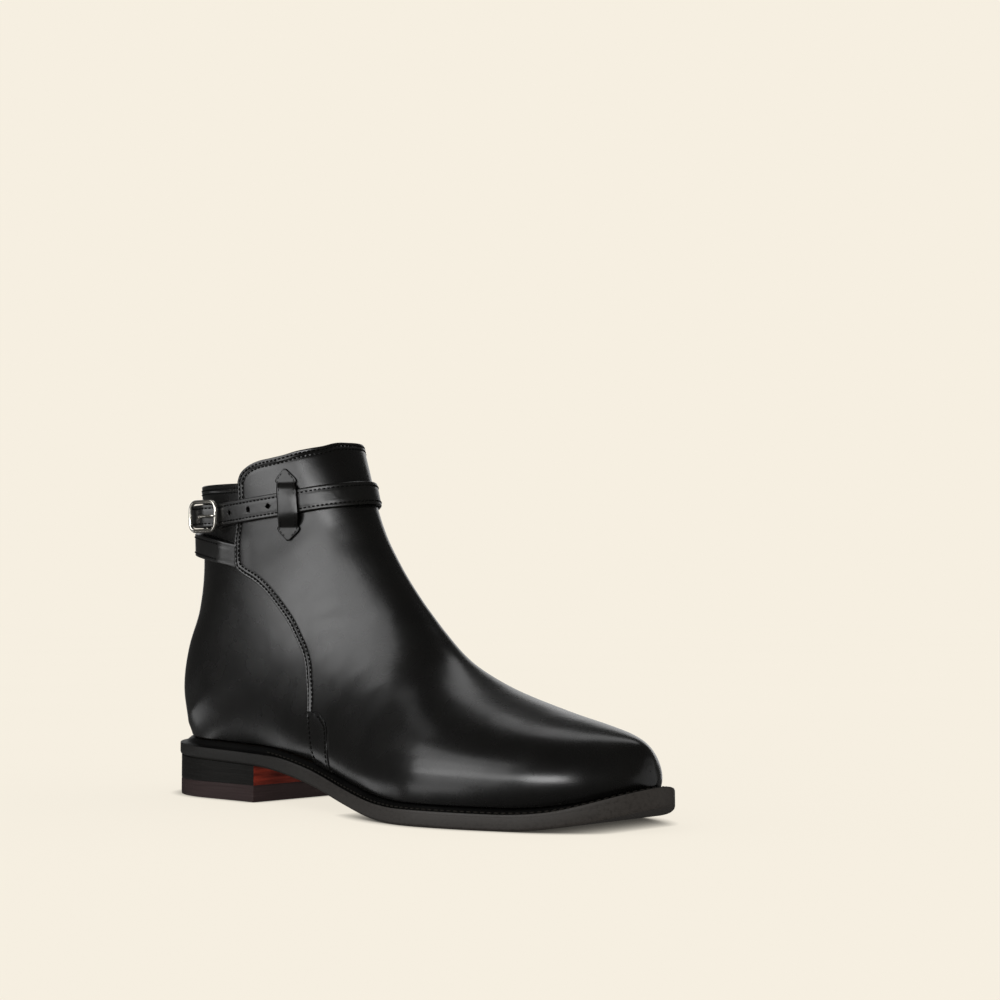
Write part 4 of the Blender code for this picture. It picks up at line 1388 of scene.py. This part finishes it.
def strap_rows(ankle, stops, thick, low, high):
    """Stitch lines along both edges of a strap between two turns."""
    turn = np.linspace(low, high, STRAP_ROW_STEPS)
    rows = []
    for side in (-1, 1):
        across = np.full_like(turn, side * (STRAP_WIDTH / 2 - STRAP_SEAM))
        line = strap_place(ankle, stops, turn, across, thick - SINK)
        rows.append(Row(line, line - strap_place(ankle, stops, turn, across, thick - WAY_DEEP)))
    return rows


def build_straps(ankle, leather, thread):
    """Long strap with its holes, the short strap behind the buckle, and the stitches of both."""
    name = "wrap_strap_leather"
    mesh = strap_mesh(name, ankle, WRAP_STRAP, STRAP_THICK, STRAP_STEPS, TIP_LENGTH, skive=True)
    wrap = piece(name, mesh, leather, "strap", "wrap_strap")
    cut_holes(wrap, ankle, WRAP_STRAP, HOLE_TURNS)
    name = "buckle_strap_leather"
    mesh = strap_mesh(name, ankle, BUCKLE_STRAP, BUCKLE_STRAP_THICK, BUCKLE_STRAP_STEPS)
    piece(name, mesh, leather, "strap", "buckle_strap")
    rows = strap_rows(ankle, WRAP_STRAP, STRAP_THICK, SKIVE_END, STITCH_END)
    rows += strap_rows(ankle, BUCKLE_STRAP, BUCKLE_STRAP_THICK, BUCKLE_STITCH_START, BUCKLE_STITCH_END)
    stitches("strap_stitches", rows, thread, "strap")


def keeper_place(ankle, foot, rise, share, lift):
    """Places on a keeper: rise above its middle, share of its half width and lift."""
    middle = float(column(WRAP_STRAP, "z", foot.turn, "turn", MM)) - KEEPER_DROP
    half = column(KEEPER, "half", rise / MM, "rise", MM)
    under = column(KEEPER, "lift", rise / MM, "rise", MM)
    place = foot.turn + foot.lean * rise / MM + share * half / MEAN_GIRTH
    return on_ankle(ankle, place, middle + rise, under + lift)


def build_keeper(ankle, side, foot, leather, thread):
    """Loop over the strap with stitched pointed ends."""
    top = KEEPER[-1].rise
    rise = np.linspace(KEEPER[0].rise, top, KEEPER_ROWS)[:, None] * MM
    share = crowded(KEEPER_COLUMNS)[None, :]
    half = column(KEEPER, "half", rise / MM, "rise", MM)
    round_off = edge_fall(np.minimum((1 - np.abs(share)) * half, top * MM - np.abs(rise)), KEEPER_ROUND)
    rise = rise + 0 * share
    share = share + 0 * rise
    bow = KEEPER_BOW * (1 - share**2) * np.exp(-((rise / KEEPER_BOW_REACH) ** 4))
    over = keeper_place(ankle, foot, rise, share, KEEPER_THICK - round_off + bow)
    under = keeper_place(ankle, foot, rise, share, 0 * rise)
    name = "keeper_" + side
    mesh = shell(name + "_leather", over, under, STRAP_SHARP)
    piece(name + "_leather", mesh, leather, "strap", name)
    rise = np.linspace(-1, 1, KEEPER_ROW_STEPS) * (top - KEEPER_SEAM_END) * MM
    half = column(KEEPER, "half", rise / MM, "rise", MM)
    rows = []
    for edge in (-1, 1):
        share = edge * np.maximum(1 - KEEPER_SEAM / half, 0)
        line = keeper_place(ankle, foot, rise, share, KEEPER_THICK - SINK)
        inner = keeper_place(ankle, foot, rise, share, KEEPER_THICK - WAY_DEEP)
        rows.append(Row(line, line - inner))
    stitches(name + "_stitches", rows, thread, "strap", KEEPER_PITCH, KEEPER_STITCH, KEEPER_STITCH_WIDE)


def tube(path, wire, across, closed=False):
    """Points and faces of a round wire; across is a direction that the path never takes."""
    path = np.asarray(path, float)
    count = len(path)
    if closed:
        along = np.roll(path, -1, axis=0) - np.roll(path, 1, axis=0)
    else:
        along = np.gradient(path, axis=0)
    side = np.cross(along, np.asarray(across, float))
    over = unit(np.cross(side, along))[:, None, :]
    side = unit(side)[:, None, :]
    angles = np.linspace(0, 2 * math.pi, WIRE_SIDES, endpoint=False)[None, :, None]
    radius = np.broadcast_to(np.asarray(wire, float), (count,))[:, None, None] / 2
    rings = path[:, None, :] + radius * (np.cos(angles) * side + np.sin(angles) * over)
    faces = ring_faces(WIRE_SIDES, count, joined=closed)
    if not closed:
        faces += end_faces(WIRE_SIDES, count)
    return rings.reshape(-1, 3), faces


def frame_path():
    """Middle line of the buckle's wire: a rectangle with round corners, beside the ankle."""
    points = []
    reach_x = BUCKLE_LENGTH / 2 - BUCKLE_CORNER
    reach_z = BUCKLE_HEIGHT / 2 - BUCKLE_CORNER
    for corner, (sx, sz) in enumerate(((1, 1), (-1, 1), (-1, -1), (1, -1))):
        for step in range(CORNER_STEPS + 1):
            angle = math.pi / 2 * (corner + step / CORNER_STEPS)
            x = BUCKLE_X + sx * reach_x + BUCKLE_CORNER * math.cos(angle)
            z = BUCKLE_Z + sz * reach_z + BUCKLE_CORNER * math.sin(angle)
            points.append((x, BUCKLE_Y, z))
    return points


def build_buckle(metal):
    """Polished frame with its centre bar, and the prong across the strap."""
    top = BUCKLE_HEIGHT / 2
    bend = top - WIRE / 4
    half_bar = [(BUCKLE_Y, top), (BAR_Y - BAR_WIRE / 2, bend), (BAR_Y, bend - BAR_WIRE / 2)]
    bar = [(BUCKLE_X, y, BUCKLE_Z + z) for y, z in half_bar]
    bar += [(BUCKLE_X, y, BUCKLE_Z - z) for y, z in reversed(half_bar)]
    points, faces = tube(frame_path(), WIRE, (0, 1, 0), closed=True)
    more, bar_faces = tube(bar, BAR_WIRE, (1, 0, 0))
    faces += [tuple(len(points) + k for k in face) for face in bar_faces]
    mesh = mesh_of("buckle_frame_metal", np.concatenate([points, more]), faces)
    piece("buckle_frame_metal", mesh, metal, "buckle", "buckle_frame")
    reach = BUCKLE_LENGTH / 2 + WIRE / 2
    share = np.linspace(0, 1, PRONG_STEPS)
    x = BUCKLE_X - BAR_WIRE + share * (reach + BAR_WIRE)
    y = PRONG_ROOT_Y + (PRONG_TIP_Y - PRONG_ROOT_Y) * np.clip(share * 2, 0, 1) ** PRONG_BEND
    taper = PRONG_WIRE * np.clip(PRONG_FULL - PRONG_TAPER * share**3, 0, 1)
    taper *= np.where(share == 1, PRONG_END, 1)
    points, faces = tube(np.stack([x, y, np.full_like(x, BUCKLE_Z)], 1), taper, (0, 0, 1))
    piece("buckle_prong_metal", mesh_of("buckle_prong_metal", points, faces), metal, "buckle", "buckle_prong")


def outline(inset, x):
    """Points once round the outline that lies inset inside the sole's edge."""
    middle = plan_centre(x)
    half = plan_half(x, inset)
    zero = np.zeros_like(x)
    outer = np.stack([x, middle - half, zero], 1)
    inner = np.stack([x, middle + half, zero], 1)
    return np.concatenate([outer, inner[::-1]])


def plain_share(edge, x):
    return edge.share


def welt_share(edge, x):
    """Share of the welt's thickness, low round the heel and full at the toe."""
    fore = edge.heel + (edge.share - edge.heel) * eased(x, *WELT_FORE)
    return fore + (edge.toe - fore) * eased(x, *WELT_TOE)


def slab(name, edges, x_of, low, high, capped=True, share_of=plain_share):
    """Closed body with the given edge profile between two heights, capped or closed into a ring."""
    loops = []
    for edge in edges:
        loop = outline(edge.inset * MM, x_of(edge.inset * MM))
        bottom = low(loop[:, 0])
        loop[:, 2] = bottom + share_of(edge, loop[:, 0]) * (high(loop[:, 0]) - bottom)
        loops.append(loop)
    count = len(loops[0])
    faces = ring_faces(count, len(loops), joined=not capped)
    if capped:
        for start in (0, (len(loops) - 1) * count):
            for k in range(count // 2 - 1):
                faces.append((start + k, start + k + 1, start + count - 2 - k, start + count - 1 - k))
    return mesh_of(name, np.concatenate(loops), faces)


def sole_x(inset):
    return stations(inset, SOLE_LENGTH - inset, SOLE_STATIONS)


def heel_x(inset):
    share = np.linspace(0, 1, HEEL_STATIONS) ** HEEL_CROWD
    return inset + (BREAST_X + HEEL_INSET - 2 * inset) * share


def paint_wall(mesh, slot):
    """Gives the upright outer faces of the welt, forward of the heel, the look of the sole's edge."""
    for face in mesh.polygons:
        place = np.array(face.center) - SHIFT
        off = abs(place[1] - plan_centre(place[0]))
        outer = off > plan_half(place[0], WELT_WALL_INSET)
        if outer and abs(face.normal.z) < WALL_STEEP:
            face.material_index = slot


def paint_breast(mesh, slot):
    """Gives the faces of the heel's front their own material."""
    limit = BREAST_X + SHIFT[0] - BREAST_REACH
    for face in mesh.polygons:
        if face.normal.x > WALL_STEEP and face.center.x > limit:
            face.material_index = slot


def heel_edges(count, groove):
    """Edge profile of a number of lifts, one over the other, with fine grooves between them."""
    rows = []
    for k in range(count):
        for edge in LIFT_EDGE:
            rows.append(Edge(edge.inset * groove + HEEL_INSET / MM, (k + edge.share) / count))
    return rows


def build_heel(looks):
    """Stack of lifts with a coloured breast, and the top piece under it."""

    def stack_low(x):
        return np.full_like(x, TOP_PIECE_THICK + HEEL_GAP)

    def stack_high(x):
        return sole_bottom(x) - HEEL_GAP

    def block_top(x):
        return np.full_like(x, TOP_PIECE_THICK)

    mesh = slab("heel_stack_lifts", heel_edges(HEEL_LIFTS, LIFT_GROOVE), heel_x, stack_low, stack_high)
    item = piece("heel_stack_lifts", mesh, [looks["heel"], looks["breast"]], "heel_stack", "heel_stack")
    paint_breast(item.data, 1)
    mesh = slab("heel_top_piece_block", heel_edges(1, TOP_PIECE_ROUND), heel_x, np.zeros_like, block_top)
    piece("heel_top_piece_block", mesh, looks["top_piece"], "heel_top_piece", "heel_top_piece")


def build_sole(looks):
    """Outsole, the welt with its painted wall, and the welt's stitches forward of the heel."""
    mesh = slab("outsole_leather", OUTSOLE_EDGE, sole_x, sole_bottom, outsole_top)
    piece("outsole_leather", mesh, looks["sole_edge"], "outsole", "outsole")
    mesh = slab("welt_leather", WELT_EDGE, sole_x, welt_bottom, welt_top, False, welt_share)
    item = piece("welt_leather", mesh, [looks["welt"], looks["sole_edge"]], "welt", "welt")
    paint_wall(item.data, 1)
    line = outline(WELT_ROW_INSET, sole_x(WELT_ROW_INSET))
    line = line[line[:, 0] > WELT_STITCH_X]
    share = WELT_ROW_SHARE + (1 - WELT_ROW_SHARE) * eased(line[:, 0], *WELT_TOE)
    line[:, 2] = welt_bottom(line[:, 0]) + share * WELT_THICK
    row = Row(line, np.tile(np.array([0.0, 0.0, 1.0]), (len(line), 1)))
    stitches("welt_stitches", [row], looks["welt_thread"], "welt", WELT_PITCH, WELT_STITCH, WELT_STITCH_WIDE)


def build_insole(material):
    """Sock that lies on the line where the upper meets the welt."""

    def place_x(inset):
        return stations(inset + INSOLE_END, SOLE_LENGTH - inset - INSOLE_END, SOLE_STATIONS)

    def top(x):
        return feather(x) + INSOLE_THICK

    edges = [Edge(INSOLE_INSET / MM + edge.inset, edge.share) for edge in INSOLE_EDGE]
    mesh = slab("insole_sock", edges, place_x, feather, top)
    piece("insole_sock", mesh, material, "insole", "insole")


def new_material(name):
    material = bpy.data.materials.new(name)
    material.use_nodes = True
    tree = material.node_tree
    return material, tree, tree.nodes["Principled BSDF"]


def set_inputs(tree, item, values):
    """Sets values on a node's inputs, or links them; None leaves an input as it is."""
    for key, value in values.items():
        if isinstance(value, bpy.types.NodeSocket):
            tree.links.new(value, item.inputs[key])
        elif value is not None:
            item.inputs[key].default_value = value


def node(tree, kind, values=None, **settings):
    """Node of a kind, with settings on it and values or links on its inputs."""
    item = tree.nodes.new(kind)
    for name, value in settings.items():
        setattr(item, name, value)
    set_inputs(tree, item, values or {})
    return item


def noise(tree, grain, vector):
    values = {"Vector": vector, "Scale": grain.scale, "Detail": grain.detail, "Roughness": grain.rough}
    return node(tree, "ShaderNodeTexNoise", values).outputs["Fac"]


def ramp(tree, value, low, high, to_low=0.0, to_high=1.0):
    values = {"Value": value, "From Min": low, "From Max": high, "To Min": to_low, "To Max": to_high}
    return node(tree, "ShaderNodeMapRange", values).outputs["Result"]


def mixed(tree, share, first, second):
    """Colour between two colours; the keys are the Mix node's sockets for colours."""
    return node(tree, "ShaderNodeMix", {0: share, 6: first, 7: second}, data_type="RGBA").outputs[2]


def times(tree, first, second):
    return node(tree, "ShaderNodeMath", {0: first, 1: second}, operation="MULTIPLY").outputs[0]


def vector_value(tree, operation, first, second):
    return node(tree, "ShaderNodeVectorMath", {0: first, 1: second}, operation=operation).outputs["Value"]


def squeezed(tree, place, scale):
    return node(tree, "ShaderNodeMapping", {"Vector": place, "Scale": scale}).outputs["Vector"]


def place_of(tree):
    return node(tree, "ShaderNodeTexCoord").outputs["Object"]


def bump(tree, height, strength, distance, normal=None):
    values = {"Height": height, "Strength": strength, "Distance": distance, "Normal": normal}
    return node(tree, "ShaderNodeBump", values).outputs["Normal"]


def streaks(tree, place, lean, along, across):
    """Noise drawn out along lines that lean by an angle in side view."""
    turn = math.radians(lean)
    far = (along * math.cos(turn), 0.0, along * math.sin(turn))
    near = (-across * math.sin(turn), 0.0, across * math.cos(turn))
    u = vector_value(tree, "DOT_PRODUCT", place, far)
    v = vector_value(tree, "DOT_PRODUCT", place, near)
    return noise(tree, CREASE_LINES, node(tree, "ShaderNodeCombineXYZ", {"X": u, "Y": v}).outputs["Vector"])


def fine_creases(tree, place, normal):
    """Fine creases of the leather in patches, added to a normal."""
    for patch in FINE_CREASES:
        middle = tuple(move(np.array([patch.x, patch.y, patch.z]) * MM))
        gap = vector_value(tree, "DISTANCE", place, middle)
        share = ramp(tree, gap, patch.reach * MM, PATCH_FULL * patch.reach * MM)
        lines = streaks(tree, place, patch.lean, FINE_ALONG, FINE_ACROSS)
        normal = bump(tree, times(tree, share, lines), 1.0, patch.deep * MM, normal)
    return normal


def leather_material(name, skin, creased=False):
    """Leather with pores, slow changes of colour and gloss, soft unevenness and a thin polish coat."""
    material, tree, shader = new_material(name)
    place = place_of(tree)
    cloud = ramp(tree, noise(tree, CLOUD, place), *CLOUD_RANGE)
    gloss = noise(tree, GLOSS, place)
    normal = bump(tree, noise(tree, SWAY, place), 1.0, skin.sway * MM) if skin.sway else None
    if creased:
        normal = fine_creases(tree, place, normal)
    normal = bump(tree, noise(tree, MOTTLE, place), 1.0, skin.mottle * MM, normal)
    cells = node(tree, "ShaderNodeTexVoronoi", {"Vector": place, "Scale": skin.grain}, feature="SMOOTH_F1")
    normal = bump(tree, cells.outputs["Distance"], skin.depth, PORE_DEEP, normal)
    fibre = noise(tree, FIBRE._replace(scale=FIBRE.scale * skin.grain), place)
    looks = {
        "Base Color": mixed(tree, cloud, (*skin.dark, 1), (*skin.pale, 1)),
        "Roughness": ramp(tree, gloss, *MIDDLE, skin.rough - skin.spread, skin.rough + skin.spread),
        "Normal": bump(tree, fibre, FIBRE_SHARE * skin.depth, FIBRE_DEEP, normal),
        "Coat Weight": skin.coat,
        "Coat Roughness": COAT_ROUGH,
        "Specular IOR Level": skin.shine,
    }
    set_inputs(tree, shader, looks)
    return material


def sole_edge_material():
    """Stained and burnished sole edge, darker round the heel and paler towards the toe."""
    material, tree, shader = new_material("sole_edge_black")
    place = place_of(tree)
    speck = noise(tree, EDGE_SPECK, place)
    forward = node(tree, "ShaderNodeSeparateXYZ", {0: place}).outputs["X"]
    # Share of the paler toe colour: grows from the heel forward, broken up by specks
    paler_to_toe = times(tree, ramp(tree, forward, *EDGE_FADE), ramp(tree, speck, *MIDDLE, *EDGE_WEAR))
    layers = noise(tree, EDGE_LAYERS, squeezed(tree, place, EDGE_SQUEEZE))
    normal = bump(tree, speck, EDGE_SPECK_SHARE, EDGE_DEEP)
    looks = {
        "Base Color": mixed(tree, paler_to_toe, HEEL_EDGE, TOE_EDGE),
        "Roughness": ramp(tree, speck, *MIDDLE, *EDGE_GLOSS),
        "Normal": bump(tree, layers, EDGE_LAYER_SHARE, EDGE_DEEP, normal),
        "Specular IOR Level": EDGE_SHINE,
    }
    set_inputs(tree, shader, looks)
    return material


def thread_material(name, colour):
    """Dull waxed thread with a fine twist."""
    material, tree, shader = new_material(name)
    twist = noise(tree, TWIST, place_of(tree))
    dark = tuple(THREAD_DARK * c for c in colour)
    looks = {
        "Base Color": mixed(tree, twist, (*dark, 1), (*colour, 1)),
        "Roughness": THREAD_ROUGH,
        "Normal": bump(tree, twist, TWIST_SHARE, TWIST_DEEP),
        "Specular IOR Level": THREAD_SHINE,
    }
    set_inputs(tree, shader, looks)
    return material


def lift_material(name, lift):
    """Stained leather or rubber edge with fine level streaks."""
    material, tree, shader = new_material(name)
    place = place_of(tree)
    streak = noise(tree, LIFT_STREAK, squeezed(tree, place, (*LIFT_SQUEEZE, lift.layers)))
    speck = noise(tree, LIFT_SPECK, place)
    normal = bump(tree, speck, LIFT_SPECK_SHARE, LIFT_SPECK_DEEP)
    smoother, rougher = LIFT_SPREAD
    looks = {
        "Base Color": mixed(tree, ramp(tree, streak, *MIDDLE), (*lift.dark, 1), (*lift.pale, 1)),
        "Roughness": ramp(tree, speck, *MIDDLE, lift.rough - smoother, lift.rough + rougher),
        "Normal": bump(tree, streak, LIFT_STREAK_SHARE, LIFT_STREAK_DEEP, normal),
        "Specular IOR Level": LIFT_SHINE,
    }
    set_inputs(tree, shader, looks)
    return material


def nickel_material():
    """Polished nickel with faint wear."""
    material, tree, shader = new_material("polished_nickel")
    place = place_of(tree)
    wear = noise(tree, WEAR, place)
    looks = {
        "Base Color": mixed(tree, ramp(tree, wear, *WEAR_RANGE), NICKEL_PALE, NICKEL_WORN),
        "Roughness": ramp(tree, wear, *GLOSS_RANGE, *NICKEL_GLOSS),
        "Normal": bump(tree, noise(tree, BRUSH, place), BRUSH_SHARE, BRUSH_DEEP),
        "Metallic": 1.0,
    }
    set_inputs(tree, shader, looks)
    return material


def floor_material():
    """Pale floor that mostly glows by itself, with a dark shadow only where the sole is close."""
    material, tree, shader = new_material("pale_floor")
    open_share = node(tree, "ShaderNodeAmbientOcclusion", {"Distance": CONTACT_REACH}).outputs["AO"]
    looks = {
        "Base Color": mixed(tree, noise(tree, FLOOR_CLOUD, place_of(tree)), FLOOR_DARK, FLOOR_PALE),
        "Roughness": 1.0,
        "Specular IOR Level": 0.0,
        "Emission Color": (*CREAM, 1),
        "Emission Strength": ramp(tree, open_share, 0.0, 1.0, CONTACT_DARK * FLOOR_GLOW, FLOOR_GLOW),
    }
    set_inputs(tree, shader, looks)
    return material


def build_floor():
    """Wide round floor, left out of the gloss of the boot; lamps may shine up through it."""
    mesh = bpy.data.meshes.new("floor")
    ring = []
    for k in range(FLOOR_SIDES):
        angle = 2 * math.pi * k / FLOOR_SIDES
        ring.append((FLOOR_RADIUS * math.cos(angle), FLOOR_RADIUS * math.sin(angle), 0.0))
    mesh.from_pydata(ring, [], [tuple(range(FLOOR_SIDES))])
    mesh.materials.append(floor_material())
    floor = bpy.data.objects.new("floor", mesh)
    floor.visible_glossy = False
    floor.visible_shadow = False
    bpy.context.scene.collection.objects.link(floor)


def build_world():
    """Pale backdrop; in the gloss of the boot it is dim and nearly grey."""
    world = bpy.data.worlds.new("studio")
    bpy.context.scene.world = world
    world.use_nodes = True
    tree = world.node_tree
    out = tree.nodes["World Output"]
    back = tree.nodes["Background"]
    back.inputs["Color"].default_value = (*CREAM, 1)
    gloss = node(tree, "ShaderNodeBackground", {"Color": (*GLOSS_GREY, 1), "Strength": 1.0}).outputs[0]
    ray = node(tree, "ShaderNodeLightPath").outputs["Is Glossy Ray"]
    mix = node(tree, "ShaderNodeMixShader", {0: ray, 1: back.outputs[0], 2: gloss})
    tree.links.new(mix.outputs[0], out.inputs["Surface"])


def build_lamps():
    """Soft boxes that show in the gloss of the boot, placed by direction and half angles of view."""
    for lamp in LAMPS:
        turn = math.radians(lamp.turn)
        rise = math.radians(lamp.rise)
        away = np.array([math.cos(rise) * math.cos(turn), math.cos(rise) * math.sin(turn), math.sin(rise)])
        light = bpy.data.lights.new(lamp.name, "AREA")
        light.shape = "RECTANGLE"
        light.size = 2 * LAMP_FAR * math.tan(math.radians(lamp.wide))
        light.size_y = 2 * LAMP_FAR * math.tan(math.radians(lamp.tall))
        light.energy = lamp.glow * math.pi * light.size * light.size_y
        item = bpy.data.objects.new(lamp.name, light)
        item.location = LAMP_AIM + LAMP_FAR * away
        item.rotation_euler = Euler((math.pi / 2 - rise, 0.0, turn + math.pi / 2))
        item.visible_diffuse = False
        item.visible_camera = False
        bpy.context.scene.collection.objects.link(item)


def build_camera():
    lens = bpy.data.cameras.new("camera")
    lens.sensor_width = SENSOR
    lens.lens = SENSOR * FOCAL_PIXELS / PHOTO_SIDE
    camera = bpy.data.objects.new("camera", lens)
    camera.location = CAMERA_PLACE
    camera.rotation_euler = Euler((math.radians(CAMERA_TILT), 0.0, math.radians(CAMERA_TURN)))
    bpy.context.scene.collection.objects.link(camera)
    bpy.context.scene.camera = camera


def build_boot():
    """All pieces of the boot with their materials."""
    table = surface_table()
    ankle = ankle_table(table)
    calf = leather_material("black_calf", CALF, creased=True)
    strap = leather_material("strap_calf", STRAP_CALF)
    lining = leather_material("tan_lining", LINING_TAN)
    thread = thread_material("black_thread", BLACK_THREAD)
    looks = {
        "sole_edge": sole_edge_material(),
        # The welt's black is made darker and duller as painted shade in the crease under the upper
        "welt": leather_material("welt_black", WELT_BLACK_PAINTED_SHADE),
        "welt_thread": thread_material("welt_thread", WELT_THREAD),
        "heel": lift_material("heel_black", HEEL_BLACK),
        "breast": lift_material("breast_red", BREAST_RED),
        "top_piece": lift_material("top_piece_brown", TOP_PIECE_BROWN),
    }
    build_front_panel(table, calf, thread)
    build_rear_quarter(table, calf)
    build_lining(table, lining)
    build_seam_tab(table, calf, thread)
    build_collar_stitches(table, thread)
    build_straps(ankle, strap, thread)
    build_keeper(ankle, "lateral", Foot(KEEPER_TURN, KEEPER_LEAN), strap, thread)
    build_keeper(ankle, "medial", Foot(1 - KEEPER_TURN, -KEEPER_LEAN), strap, thread)
    build_buckle(nickel_material())
    build_sole(looks)
    build_heel(looks)
    build_insole(lining)


build_boot()
build_floor()
build_world()
build_lamps()
build_camera()
bpy.context.scene.view_settings.view_transform = "Standard"
